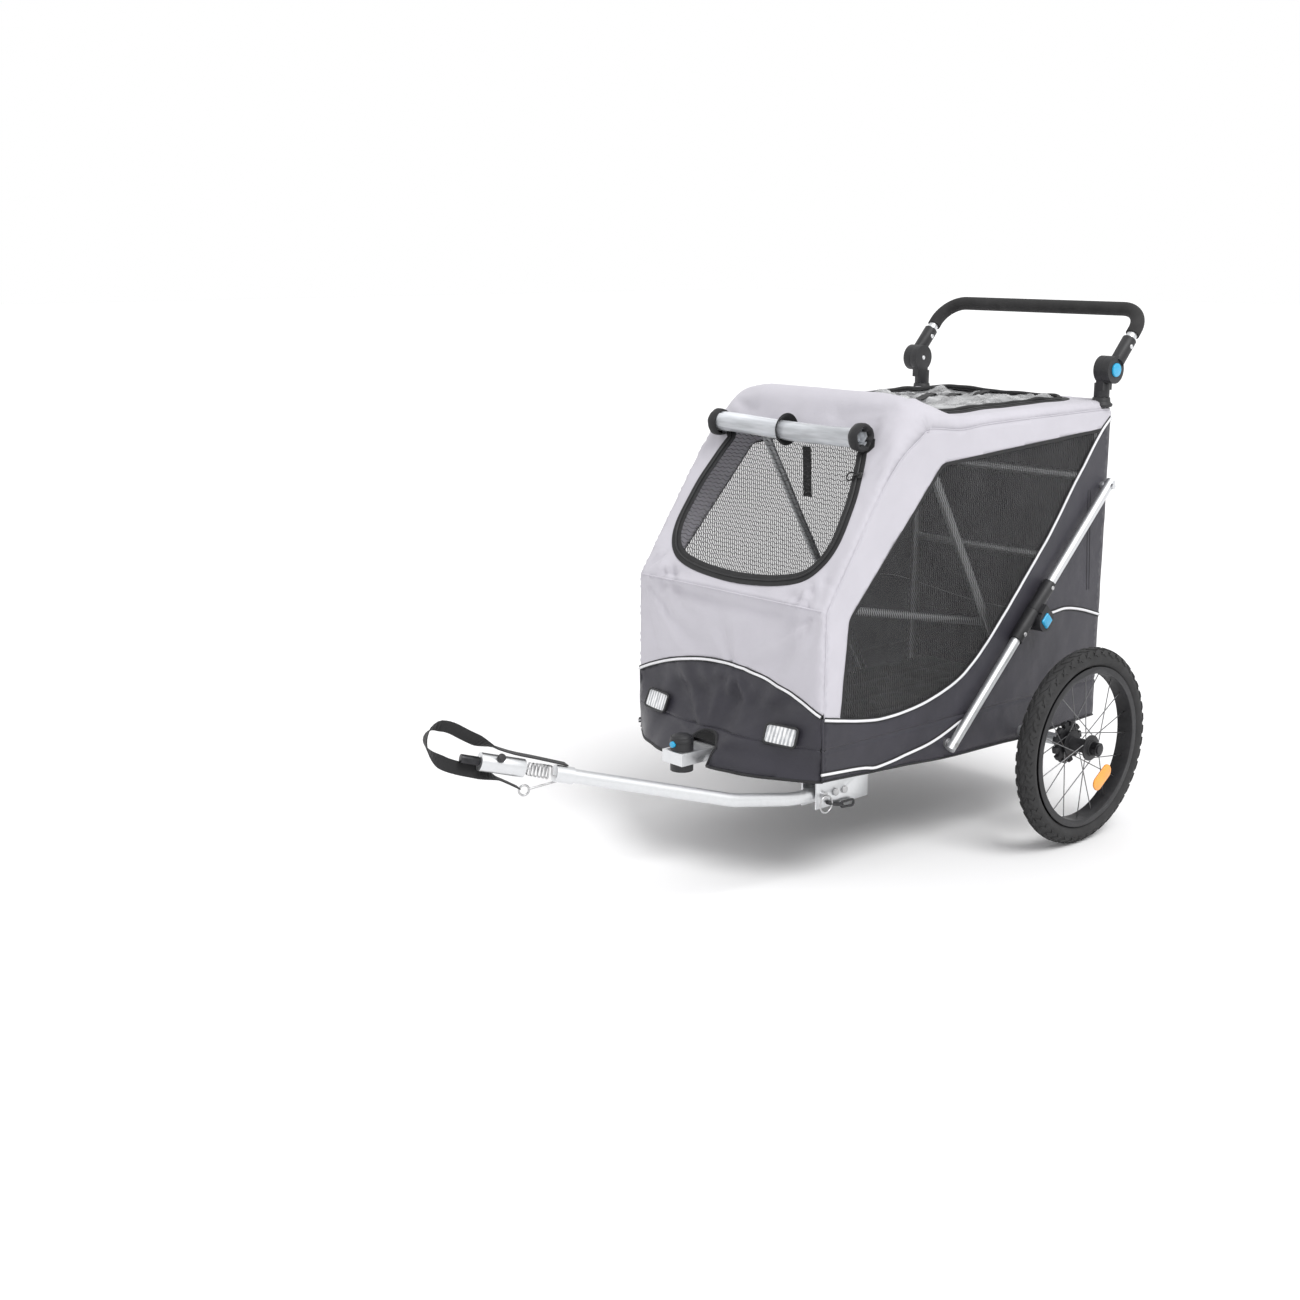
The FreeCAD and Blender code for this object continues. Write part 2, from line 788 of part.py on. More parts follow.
pair("pivot_brackets", [
    place(fuse("RearBracket", [rear_ear, rear_pin])),
    place(fuse("BowBracket", [bow_foot, bow_lug, bow_pin])),
    place(fuse("BraceBracket", [brace_foot, brace_pin])),
])

# Rear frame: two uprights on the fold pivots, joined by two bars
UPRIGHT = ("upright_offset", "fold_pivot_place")
UPRIGHT_TOP = "hinge_height - upright_tuck"
BRACE_HEAD = "hinge_height - brace_head_drop"
upright = rod(
    "Upright", "upright_radius", UPRIGHT_TOP + " - fold_pivot_height + upright_end",
    UPRIGHT + ("fold_pivot_height - upright_end",), "z")
head_stub = rod(
    "BraceHead", "brace_stub_radius", "%s - upright_offset" % BRACE_IN,
    UPRIGHT + (BRACE_HEAD,), "x")
upright_bore = rod(
    "UprightBore", "upright_radius - upright_wall", UPRIGHT_TOP,
    UPRIGHT + ("fold_pivot_height + upright_plug",), "z")
upright_eye = rod(
    "UprightEye", "pivot_pin + run_gap", "upright_radius * 2 + cut_over * 2",
    ("upright_offset - upright_radius - cut_over", "fold_pivot_place", "fold_pivot_height"), "x")
left_upright = cut("LeftUpright", fuse("UprightStub", [upright, head_stub]), [upright_bore, upright_eye])
bars = [
    rod(name, "cross_bar_radius", "(upright_offset - upright_radius + upright_wall) * 2",
        ("-upright_offset + upright_radius - upright_wall", "fold_pivot_place", height), "x")
    for name, height in (("LowBar", "low_bar_height"), ("HighBar", "hinge_height - high_bar_drop"))
]
node(place(fuse("RearFrame", [left_upright, mirror(left_upright)] + bars)), "rear_frame_tubes")

# Roof bow and nose bow
roof_bow_pipe = bow_pipe(
    "RoofBowTube", "bow_offset", "0", "roof_bow_length", "roof_bow_bend", "bow_radius",
    "bow_radius - bow_wall", None, None, None)
BOW_START = ("bow_offset", "-bow_radius", "0")
bow_plug = rod("BowPlug", "bow_radius", "bow_plug + bow_radius", BOW_START, "y")
nose_seat = rod(
    "NoseSeat", "bow_radius", "bow_radius * 4", ("bow_offset", "nose_pivot_along - bow_radius * 2", "0"), "y")
NOSE_PIN_IN = "nose_bow_offset - nose_bow_radius"
nose_pin = rod(
    "NosePin", "bow_pin", "bow_offset - (%s)" % NOSE_PIN_IN, (NOSE_PIN_IN, "nose_pivot_along", "0"), "x")
bow_eye = rod(
    "BowEye", "bow_pin + run_gap", "(bow_radius + cut_over) * 2",
    ("bow_offset - bow_radius - cut_over", "0", "0"), "x")
ends = [bow_plug, nose_seat, nose_pin]
roof_whole = fuse("RoofBowWhole", [roof_bow_pipe] + ends + [mirror(end) for end in ends])
roof_bow = place(
    cut("RoofBow", roof_whole, [bow_eye, mirror(bow_eye)]),
    "bow_pivot_place", "bow_pivot_height", "roof_bow_lean")
node(roof_bow, "roof_bow")

nose_bow_pipe = bow_pipe(
    "NoseBowTube", "nose_bow_offset", "0", "nose_bow_length", "nose_bow_bend", "nose_bow_radius",
    "nose_bow_radius - bow_wall", None, None, None)
nose_plug = rod(
    "NosePlug", "nose_bow_radius", "bow_plug + nose_bow_radius",
    ("nose_bow_offset", "-nose_bow_radius", "0"), "y")
nose_eye = rod(
    "NoseEye", "bow_pin + run_gap", "(nose_bow_radius + cut_over) * 2",
    ("nose_bow_offset - nose_bow_radius - cut_over", "0", "0"), "x")
nose_whole = fuse("NoseBowWhole", [nose_bow_pipe, nose_plug, mirror(nose_plug)])
nose_pivot_place = "bow_pivot_place + nose_pivot_along * cos(roof_bow_lean)"
nose_pivot_height = "bow_pivot_height + nose_pivot_along * sin(roof_bow_lean)"
nose_bow = place(
    cut("NoseBow", nose_whole, [nose_eye, mirror(nose_eye)]),
    nose_pivot_place, nose_pivot_height, "nose_bow_lean")
node(nose_bow, "nose_bow")

# Braces, built along their own line from the foot pivot, with a knee below the line
brace_rise = BRACE_HEAD + " - brace_foot_height"
brace_run = "fold_pivot_place + brace_foot_place"
BRACE_TURN = "atan2(%s; %s)" % (brace_rise, brace_run)
brace_whole = "sqrt((%s)^2 + (%s)^2)" % (brace_rise, brace_run)
BRACE_HALF = "(%s) / 2" % brace_whole


def on_brace(thing):
    return place(thing, "-brace_foot_place", "brace_foot_height", BRACE_TURN)


def brace_half(name, eye, start, end, bore_start, bore_end):
    """One tube of a brace, with a plugged end and an eye for its pivot."""
    outer = rod(name + "Outer", "brace_radius", "%s - (%s)" % (end, start), (BRACE_LINE, start, "0"), "y")
    bore = rod(
        name + "Bore", "brace_radius - brace_wall", "%s - (%s)" % (bore_end, bore_start),
        (BRACE_LINE, bore_start, "0"), "y")
    hole = rod(
        name + "Hole", "pivot_pin + run_gap", "(brace_radius + cut_over) * 2",
        (BRACE_LINE + " - brace_radius - cut_over", eye, "0"), "x")
    return outer, [bore, hole]


lower_outer, lower_cuts = brace_half(
    "LowerBrace", "0", "-brace_end", BRACE_HALF + " - knee_tube_stop", "brace_plug", BRACE_HALF)
pair("lower_brace_tubes", [on_brace(cut("LowerBraceTube", lower_outer, lower_cuts))])
upper_outer, upper_cuts = brace_half(
    "UpperBrace", brace_whole, BRACE_HALF + " + knee_tube_stop", brace_whole + " + brace_end",
    BRACE_HALF, brace_whole + " - brace_plug")
head_bolt = rod(
    "BraceHeadBolt", "brace_bolt_radius", "brace_bolt_head + lug_thick",
    (BRACE_LINE + " + brace_radius - lug_thick", brace_whole, "0"), "x")
head_shank = rod(
    "BraceHeadShank", "pivot_pin", "brace_radius * 2",
    (BRACE_LINE + " - brace_radius", brace_whole, "0"), "x")
upper_tube = fuse("UpperBraceWhole", [cut("UpperBraceBored", upper_outer, upper_cuts), head_bolt, head_shank])
pair("upper_brace_tubes", [on_brace(upper_tube)])


def knee(name, start, end, neck_start, neck_end, ears, reliefs, extra, holes):
    """One half of a knee: a sleeve on the tube, necks down to the ears, and room for the other half."""
    sleeve = rod(
        name + "Sleeve", "knee_sleeve_radius", "%s - (%s)" % (end, start), (BRACE_LINE, start, "0"), "y")
    bore = rod(
        name + "Bore", "brace_radius + run_gap", "%s - (%s) + cut_over * 2" % (end, start),
        (BRACE_LINE, start + " - cut_over", "0"), "y")
    solids = [sleeve]
    for i, (low, high) in enumerate(ears):
        solids.append(rod(
            "%sEar%d" % (name, i), "knee_ear_radius", "%s - (%s)" % (high, low),
            (low, BRACE_HALF, "-knee_offset"), "x"))
        solids.append(block(
            "%sNeck%d" % (name, i),
            (low, neck_start, "-knee_offset - knee_neck_drop"),
            (high, neck_end, "0")))
    whole = cut(name + "Bored", fuse(name + "Whole", solids), [bore])
    rooms = [
        rod("%sRoom%d" % (name, i), "knee_ear_radius + knee_relief", "%s - (%s)" % (high, low),
            (low, BRACE_HALF, "-knee_offset"), "x")
        for i, (low, high) in enumerate(reliefs)
    ]
    result = cut(name + "Cleared", whole, rooms + holes)
    return fuse(name + "Pinned", [result] + extra) if extra else result


EAR_IN = BRACE_LINE + " - knee_ear_half"
EAR_OUT = BRACE_LINE + " + knee_ear_half"
FAR_IN = BRACE_LINE + " - knee_inner_reach"
FAR_OUT = BRACE_LINE + " + knee_outer_reach"
KNEE_LINE = (BRACE_HALF, "-knee_offset")
inner_layer = (EAR_IN, EAR_OUT)
outer_layers = [(FAR_IN, EAR_IN + " - body_gap"), (EAR_OUT + " + body_gap", FAR_OUT)]
knee_hole = rod(
    "KneeHole", "bow_pin + run_gap", "(knee_ear_half + cut_over) * 2",
    (EAR_IN + " - cut_over",) + KNEE_LINE, "x")
lower_knee = knee(
    "LowerKnee", BRACE_HALF + " - knee_sleeve_length", BRACE_HALF + " - body_gap",
    BRACE_HALF + " - knee_neck_length", BRACE_HALF + " - body_gap", [inner_layer],
    [(FAR_IN + " - cut_over", EAR_IN), (EAR_OUT, FAR_OUT + " + cut_over")], [], [knee_hole])
pair("lower_brace_knees", [on_brace(lower_knee)])
knee_button_in = FAR_OUT + " + knee_button_stand - knee_button_length"
knee_pin = rod(
    "KneePin", "bow_pin", "(knee_ear_half + lug_thick) * 2", (EAR_IN + " - lug_thick",) + KNEE_LINE, "x")
knee_room = block(
    "KneeButtonRoom",
    (knee_button_in + " - knee_button_travel - body_gap", BRACE_HALF + " - knee_button_half - body_gap",
     "-knee_offset - knee_button_half - body_gap"),
    (FAR_OUT + " + cut_over", BRACE_HALF + " + knee_button_half + body_gap",
     "-knee_offset + knee_button_half + body_gap"))
upper_knee = knee(
    "UpperKnee", BRACE_HALF + " + body_gap", BRACE_HALF + " + knee_sleeve_length",
    BRACE_HALF + " + body_gap", BRACE_HALF + " + knee_neck_length", outer_layers,
    [(EAR_IN + " - body_gap", EAR_OUT + " + body_gap")], [knee_pin], [knee_room])
pair("upper_brace_knees", [on_brace(upper_knee)])
knee_button = wrap("KneeButton", [block(
    "KneeButtonPlate",
    (knee_button_in, BRACE_HALF + " - knee_button_half", "-knee_offset - knee_button_half"),
    (FAR_OUT + " + knee_button_stand", BRACE_HALF + " + knee_button_half", "-knee_offset + knee_button_half"))])
node(on_brace(knee_button), "left_brace_button")
node(mirror(knee_button), "right_brace_button")

# Handle hinges: the inner half on the upright, the outer half on the handle
HINGE_IN = "hinge_offset - hinge_half_width"
HINGE_SPLIT = "hinge_offset - body_gap / 2"
HINGE_NEXT = "hinge_offset + body_gap / 2"
HINGE_LINE = ("hinge_place", "hinge_height")
ROOF_REAR = "hinge_height - roof_rear_drop"
SEAM_REAR = ROOF_REAR + " - seam_rear_drop"
lower_drum = rod(
    "LowerDrum", "hinge_radius", "%s - (%s)" % (HINGE_SPLIT, HINGE_IN), (HINGE_IN,) + HINGE_LINE, "x")
lower_sleeve = rod(
    "LowerSleeve", "hinge_sleeve_radius", "hinge_sleeve_length",
    UPRIGHT + ("hinge_height - hinge_radius - hinge_sleeve_length",), "z")
lower_stem = block(
    "LowerStem",
    (HINGE_IN, "hinge_place - hinge_sleeve_radius", "hinge_height - hinge_radius - hinge_sleeve_length / 2"),
    (HINGE_SPLIT, "hinge_place + hinge_sleeve_radius", "hinge_height"))
drum_pin = rod(
    "DrumPin", "hinge_pin", "hinge_half_width + hinge_pin_length", (HINGE_IN,) + HINGE_LINE, "x")
sleeve_bore = rod(
    "SleeveBore", "upright_radius + run_gap", UPRIGHT_TOP + " + run_gap",
    UPRIGHT + ("run_gap",), "z")
lower_hinge = cut(
    "LowerHinge", fuse("LowerHingeWhole", [lower_drum, lower_sleeve, lower_stem, drum_pin]), [sleeve_bore])
pair("handle_hinge_lowers", [place(lower_hinge)])


def on_handle(thing):
    return place(thing, "hinge_place", "hinge_height", "handle_tilt")


HINGE_OUT = "hinge_offset + hinge_half_width"
MIDDLE = ("0", "0")
upper_drum = rod(
    "UpperDrum", "hinge_radius", "%s - (%s)" % (HINGE_OUT, HINGE_NEXT), (HINGE_NEXT,) + MIDDLE, "x")
arm = rod("HandleArm", "arm_radius", "arm_end - arm_start", ("handle_offset", "arm_start", "0"), "y")
arm_bore = rod(
    "HandleArmBore", "handle_radius + run_gap", "arm_end",
    ("handle_offset", "handle_seat - run_gap", "0"), "y")
drum_room = rod(
    "DrumRoom", "hinge_radius + body_gap", "hinge_half_width + cut_over + body_gap / 2",
    (HINGE_IN + " - cut_over",) + MIDDLE, "x")
pin_room = rod(
    "DrumPinRoom", "hinge_pin + run_gap", "hinge_pin_length + body_gap + cut_over",
    ("hinge_offset - cut_over",) + MIDDLE, "x")
handle_button_in = HINGE_OUT + " + handle_button_stand - handle_button_length"
handle_button_room = rod(
    "HandleButtonRoom", "handle_button_radius + body_gap",
    "handle_button_length + handle_button_travel + cut_over",
    (handle_button_in + " - handle_button_travel - body_gap",) + MIDDLE, "x")
upper_hinge = cut(
    "UpperHinge", fuse("UpperHingeWhole", [upper_drum, arm]),
    [arm_bore, drum_room, pin_room, handle_button_room])
pair("handle_hinge_uppers", [on_handle(upper_hinge)])
handle_button = wrap("HandleButton", [rod(
    "HandleButtonDisc", "handle_button_radius", "handle_button_length", (handle_button_in,) + MIDDLE, "x")])
node(on_handle(handle_button), "left_handle_button")
node(mirror(handle_button), "right_handle_button")

HANDLE = ("hinge_place", "hinge_height", "handle_tilt")
node(bow_pipe(
    "HandleTube", "handle_offset", "handle_seat", "handle_length", "handle_bend", "handle_radius",
    "handle_radius - handle_wall", *HANDLE), "handle_tube")
node(bow_pipe(
    "HandleGrip", "handle_offset", "grip_start", "handle_length", "handle_bend", "grip_radius",
    "handle_radius + run_gap", *HANDLE), "handle_grip")

# Cabin cover. Side pieces are flat sheets in the side plane, drawn as (place, height).
SIDE_IN = "cover_half - cloth_thick"
SEAM = [
    ("-nose_place", "nose_split_height"),
    ("-seam_dip_place", "seam_dip_height"),
    ("-seam_turn_place", "seam_turn_height"),
    ("cover_rear", SEAM_REAR),
]
SEAM_BENDS = [None, "seam_dip_bend", "seam_turn_bend", None]
SEAM_SLOPE = "(%s - seam_turn_height) / (cover_rear + seam_turn_place)" % SEAM_REAR
WINDOW_REAR = "seam_turn_height + (window_rear_place + seam_turn_place) * %s + body_gap * 2" % SEAM_SLOPE
WINDOW = [
    ("-window_edge_front", "window_low_front"),
    ("-window_rise_place", "window_rise_height"),
    ("-window_top_place", "window_top_height"),
    ("window_rear_place", WINDOW_REAR),
]
WINDOW_BENDS = [None, "window_bend", "window_bend", None]


def raised(points, gap):
    return [(x, "%s + (%s)" % (y, gap)) for x, y in points]


def side_sheet(name, corners, bends, holes=()):
    body = new_body(name)
    sketch = new_sketch(body, name + "Outline", "YZ_Plane", SIDE_IN)
    outline(sketch, corners, bends)
    for hole in holes:
        circle(sketch, *hole)
    pad(body, sketch, "cloth_thick")
    return body


SKIRT_TOP = [("-nose_place", "skirt_height"), ("cover_rear", "skirt_height")]
skirt = side_sheet(
    "Skirt",
    [("-nose_place", "skirt_front_low"), ("0", "skirt_middle_low"),
     ("cover_rear", "cover_low")] + SKIRT_TOP[::-1],
    None,
    [("0", "wheel_diameter / 2", "axle_tube_radius + body_gap"),
     ("-brace_foot_place", "brace_foot_height", "brace_foot_radius + body_gap")])
pair("tub_skirts", [skirt])
low_sheet = side_sheet(
    "LowSheet",
    raised(SKIRT_TOP, "body_gap") + SEAM[::-1],
    [None, None] + SEAM_BENDS[::-1],
    [("fold_pivot_place", BRACE_HEAD, "brace_stub_radius + body_gap")])
pair("lower_side_panels", [low_sheet])
mesh_sheet = side_sheet(
    "MeshSheet", raised(SEAM[1:-1], "body_gap") + WINDOW[::-1], SEAM_BENDS[1:-1] + WINDOW_BENDS[::-1])
pair("mesh_windows", [mesh_sheet])
light_sheet = side_sheet(
    "LightSheet",
    raised(SEAM[:1], "body_gap") + [
        ("-window_edge_front - body_gap", "window_low_front"),
        ("-window_rise_place - body_gap", "window_rise_height"),
        ("-window_top_place - body_gap", "window_top_height + body_gap"),
        ("window_rear_place", WINDOW_REAR + " + body_gap"),
        ("cover_rear", SEAM_REAR + " + body_gap"),
        ("cover_rear", ROOF_REAR),
        ("-roof_front_place", "roof_front_height"),
        ("-nose_place", "nose_top_height"),
    ],
    [None, None, "window_bend", "window_bend", None, None, None, "window_bend", None])
pair("side_covers", [light_sheet])

# Roof, slope and upper nose are one sheet, bent across the trailer, with a door and a roof window in it
slope_run = "nose_place - roof_front_place"
slope_rise = "roof_front_height - nose_top_height"
roof_run = "cover_rear + roof_front_place"
roof_rise = ROOF_REAR + " - roof_front_height"
SLOPE_TURN = "atan2(%s; %s)" % (slope_rise, slope_run)
ROOF_TURN = "atan2(%s; %s)" % (roof_rise, roof_run)
nose_step = "cloth_thick * tan((90 deg - (%s)) / 2)" % SLOPE_TURN
bend_step = "cloth_thick * tan((%s - (%s)) / 2)" % (SLOPE_TURN, ROOF_TURN)
bend_back = "%s * cos(%s) + cloth_thick * sin(%s)" % (bend_step, ROOF_TURN, ROOF_TURN)
bend_drop = "cloth_thick * cos(%s) - (%s) * sin(%s)" % (ROOF_TURN, bend_step, ROOF_TURN)
cover_body = new_body("CoverSheet")
cover_sketch = new_sketch(cover_body, "CoverSection", "YZ_Plane")
NOSE_LOW = "nose_split_height + body_gap"
outline(cover_sketch, [
    ("-nose_place", NOSE_LOW),
    ("-nose_place", "nose_top_height"),
    ("-roof_front_place", "roof_front_height"),
    ("cover_rear", ROOF_REAR),
    ("cover_rear", ROOF_REAR + " - cloth_thick / cos(%s)" % ROOF_TURN),
    ("-roof_front_place + " + bend_back, "roof_front_height - (%s)" % bend_drop),
    ("-nose_place + cloth_thick", "nose_top_height - (%s)" % nose_step),
    ("-nose_place + cloth_thick", NOSE_LOW),
])
pad(cover_body, cover_sketch, "(%s - run_gap) * 2" % SIDE_IN, both=True)


def slope_plate(name, along, height, turn, start, length, half, bend, grow, low, thick):
    """A rounded plate lying in a slope, its outer face the cover's outer face."""
    body = new_body(name, along, height, turn)
    sketch = new_sketch(body, name + "Outline", "XY_Plane", "-(%s)" % low)
    side = "%s + (%s)" % (half, grow)
    first = "%s - (%s)" % (start, grow)
    last = "%s + %s + (%s)" % (start, length, grow)
    corners = [("-(%s)" % side, first), (side, first), (side, last), ("-(%s)" % side, last)]
    outline(sketch, corners, [bend] * 4)
    pad(body, sketch, thick)
    return body


DOOR = ("-nose_place", "nose_top_height", SLOPE_TURN, "door_low", "door_length", "door_half", "door_bend")
HATCH = (
    "-roof_front_place", "roof_front_height", ROOF_TURN,
    "hatch_start", "hatch_length", "hatch_half", "hatch_bend")
THROUGH = ("cloth_thick + cut_over", "cloth_thick + cut_over * 2")
FLUSH = ("cloth_thick", "cloth_thick")
door_room = slope_plate("DoorRoom", *DOOR, "body_gap", *THROUGH)
hatch_room = slope_plate("HatchRoom", *HATCH, "body_gap", *THROUGH)
node(slope_plate("FrontDoor", *DOOR, "0", *FLUSH), "front_mesh_door")
node(slope_plate("RoofWindow", *HATCH, "0", *FLUSH), "roof_window")

BOOT_TOP = "hinge_height - hinge_radius - hinge_sleeve_length - body_gap"
BOOT_LOW = BOOT_TOP + " - boot_height"
BOOT_IN = "upright_offset - boot_half"
corner_block = block(
    "CornerBlock",
    (BOOT_IN + " - body_gap", "fold_pivot_place - boot_half - body_gap", BOOT_LOW + " - cut_over"),
    ("cover_half", "cover_rear + cut_over", BOOT_TOP + " + cut_over"))
corner_room = place(wrap("CornerRoom", [corner_block]))

# The roof's front swells into a hump over the roof bow, with its ends rounded down to the sides
hump_back = "hump_foot - hump_rise / tan(%s)" % SLOPE_TURN
hump_fall = "hump_rise - hump_foot * tan(%s)" % ROOF_TURN
HUMP_TURN = "atan2(%s; %s)" % (hump_fall, hump_back)
slope_inset = "cloth_thick / sin(%s)" % SLOPE_TURN
back_inset = "cloth_thick / cos(%s)" % HUMP_TURN
hump_step = "({2} + tan({1}) * {3}) / (1 + tan({1}) / tan({0}))".format(
    SLOPE_TURN, HUMP_TURN, back_inset, slope_inset)
hump_low = "roof_front_height - hump_lap * sin(%s)" % SLOPE_TURN
hump_front = "-roof_front_place - hump_lap * cos(%s)" % SLOPE_TURN
hump_top = "-roof_front_place + hump_rise / tan(%s)" % SLOPE_TURN
hump_end = "-roof_front_place + hump_foot - hump_lap"
HUMP_OUTER = [
    (hump_front, hump_low),
    (hump_top, "roof_front_height + hump_rise"),
    ("-roof_front_place + hump_foot", "roof_front_height + hump_foot * tan(%s)" % ROOF_TURN),
]
HUMP_INNER = [
    (hump_front + " + " + slope_inset, hump_low),
    ("%s + %s - %s / tan(%s)" % (hump_top, slope_inset, hump_step, SLOPE_TURN),
     "roof_front_height + hump_rise - " + hump_step),
    (hump_end, "roof_front_height + hump_foot * tan(%s) + hump_lap * tan(%s) - %s" % (
        ROOF_TURN, HUMP_TURN, back_inset)),
    (hump_end, hump_low),
]


def hump_form(name, corners, inset):
    """The hump's side view carried across the trailer, within a front view with rounded shoulders."""
    across = new_body(name + "Across")
    section = new_sketch(across, name + "Section", "YZ_Plane")
    outline(section, corners)
    pad(across, section, "cover_half * 2", both=True)
    along = new_body(name + "Along")
    front = new_sketch(along, name + "Front", "XZ_Plane")
    side = "%s - run_gap - (%s)" % (SIDE_IN, inset)
    top = "roof_front_height + hump_rise - (%s)" % inset
    bend = "hump_bend - (%s)" % inset
    outline(
        front,
        [("-(%s)" % side, "skirt_height"), (side, "skirt_height"), (side, top), ("-(%s)" % side, top)],
        [None, None, bend, bend])
    pad(along, front, "nose_place * 2", both=True)
    return shared(name, [across, along])


hump_room = hump_form("HumpRoom", HUMP_INNER, "cloth_thick")
hump = cut("Hump", hump_form("HumpBlank", HUMP_OUTER, "0"), [hump_room])
flat_cover = cut(
    "FlatCover", cover_body, [door_room, hatch_room, hump_room, corner_room, mirror(corner_room)])
node(fuse("Cover", [flat_cover, hump]), "main_cover")

# Collars round the uprights, and the rear of the tub and of the cover
boot_blank = block(
    "BootBlank",
    (BOOT_IN, "fold_pivot_place - boot_half", BOOT_LOW),
    (SIDE_IN + " - run_gap", "cover_rear - cloth_thick - body_gap", BOOT_TOP))
boot_tube = rod(
    "BootTube", "upright_radius + body_gap", "boot_height + cut_over * 2",
    UPRIGHT + (BOOT_LOW + " - cut_over",), "z")
boot = cut("CornerBoot", boot_blank, [boot_tube])
pair("corner_boots", [place(boot)])

rear_tub = block(
    "RearTub",
    ("-(%s) + run_gap" % SIDE_IN, "cover_rear - cloth_thick", "cover_low"),
    (SIDE_IN + " - run_gap", "cover_rear", "skirt_height"))
node(place(wrap("RearTubWall", [rear_tub])), "rear_tub_wall")
rear_wall = block(
    "RearWall",
    ("-(%s) + run_gap" % SIDE_IN, "cover_rear - cloth_thick", "skirt_height + body_gap"),
    (SIDE_IN + " - run_gap", "cover_rear", BOOT_LOW + " - body_gap"))
rear_top = block(
    "RearTop",
    ("-(%s) + body_gap" % BOOT_IN, "cover_rear - cloth_thick", BOOT_LOW + " - body_gap"),
    (BOOT_IN + " - body_gap", "cover_rear", ROOF_REAR + " - cloth_thick - body_gap * 2"))
node(place(fuse("RearPanel", [rear_wall, rear_top])), "rear_panel")


def bowed_strip(height, corner, reach):
    """A closed wire across the trailer: two arcs, one sheet thickness apart, and their ends."""
    half = size(SIDE_IN + " - run_gap")
    ends = []
    arcs = []
    for inset in (0, size("cloth_thick")):
        left = Vec(half, inset - size(corner), size(height))
        right = Vec(-half, inset - size(corner), size(height))
        arcs.append(Part.Arc(left, Vec(0, inset - size(reach), size(height)), right).toShape())
        ends.append((left, right))
    sides = [Part.makeLine(ends[0][i], ends[1][i]) for i in (0, 1)]
    return Part.Wire(Part.sortEdges(arcs + sides)[0])


def nose_panel():
    """The lower nose: nearly straight at its top, bowed forward at its hem, open round the socket arm."""
    hem = bowed_strip("nose_hem_height", "nose_hem_corner", "nose_hem")
    top = bowed_strip("nose_split_height", "nose_place", "nose_place + cloth_thick")
    sheet_solid = Part.makeLoft([hem, top], True, True)
    side = size("clamp_side + hole_gap")
    low = size("nose_hem_height - cut_over")
    opening = Part.makeBox(
        side * 2, size("nose_hem"), size("clamp_high + hole_gap") - low,
        Vec(-side, -size("nose_hem + cut_over"), low))
    return sheet_solid.cut(opening)


solid("front_lower_panel", nose_panel())

# Rolled rain cover on the slope, above the door
roll_gap = "roll_radius + body_gap"
roll_place = "-nose_place + roll_along * cos({0}) - ({1}) * sin({0})".format(SLOPE_TURN, roll_gap)
roll_height = "nose_top_height + roll_along * sin({0}) + ({1}) * cos({0})".format(SLOPE_TURN, roll_gap)
roll = wrap("RainRoll", [rod("RollCloth", "roll_radius", "roll_half * 2", ("-roll_half", "0", "0"), "x")])
node(place(roll, roll_place, roll_height), "rain_cover_roll")

# Front wheel socket, its clamp on the base frame and its release button
SOCKET = ("0", "-socket_place")
socket_body = rod("SocketBody", "socket_radius", "socket_height", SOCKET + ("socket_low",), "z")
socket_bore = rod(
    "SocketBore", "socket_bore", "socket_bore_depth + cut_over", SOCKET + ("socket_low - cut_over",), "z")
SOCKET_FACE = "-socket_place - socket_radius"
button_end = SOCKET_FACE + " - socket_button_stand"
BUTTON_LINE = ("0", button_end, "socket_button_height")
socket_room = rod(
    "SocketButtonRoom", "socket_button_radius + body_gap",
    "socket_button_length + socket_button_travel + body_gap", BUTTON_LINE, "y")
node(place(cut("FrontSocket", socket_body, [socket_bore, socket_room])), "front_wheel_socket")
socket_button = wrap("SocketButton", [rod(
    "SocketButtonDisc", "socket_button_radius", "socket_button_length", BUTTON_LINE, "y")])
node(place(socket_button), "socket_button")
clamp_arm = block(
    "SocketClampArm",
    ("-clamp_side", "-socket_place - clamp_front - socket_radius / 2", "clamp_low"),
    ("clamp_side", "-nose_reach", "clamp_high"))
clamp_hole = rod(
    "SocketClampHole", "socket_radius + run_gap", "clamp_high - clamp_low + cut_over * 2",
    SOCKET + ("clamp_low - cut_over",), "z")
node(place(cut("SocketClamp", clamp_arm, [clamp_hole])), "socket_clamp")

# Front reflectors on the bowed lower nose
reflector = new_body("FrontReflector", None)
face = new_sketch(reflector, "FrontReflectorFace", "XZ_Plane")
wide = "reflector_length / 2"
tall = "reflector_height / 2"
outline(
    face,
    [("-" + wide, "-" + tall), (wide, "-" + tall), (wide, tall), ("-" + wide, tall)],
    ["reflector_bend"] * 4)
pad(reflector, face, "reflector_thick")
bow_rise = "(nose_hem - nose_hem_corner)"
bow_arc = "(((%s)^2 + %s^2) / 2 / %s)" % (SIDE_IN, bow_rise, bow_rise)
bow_back = "sqrt(%s^2 - reflector_offset^2)" % bow_arc
hem_there = "(nose_hem - %s + %s)" % (bow_arc, bow_back)
low_share = "(nose_split_height - reflector_middle) / (nose_split_height - nose_hem_height)"
seat_there = "nose_place + (%s - nose_place) * %s + cloth_thick + body_gap * 2" % (hem_there, low_share)
reflector.Placement = FreeCAD.Placement(Vec(), FreeCAD.Rotation(Vec(-1, 0, 0), 1))
bind(reflector, **{
    "Placement.Rotation.Angle": "atan2(%s - nose_place; nose_split_height - nose_hem_height)" % hem_there})
leaning = wrap("LeaningReflector", [reflector])
leaning.Placement = FreeCAD.Placement(Vec(), FreeCAD.Rotation(Vec(0, 0, 1), 1))
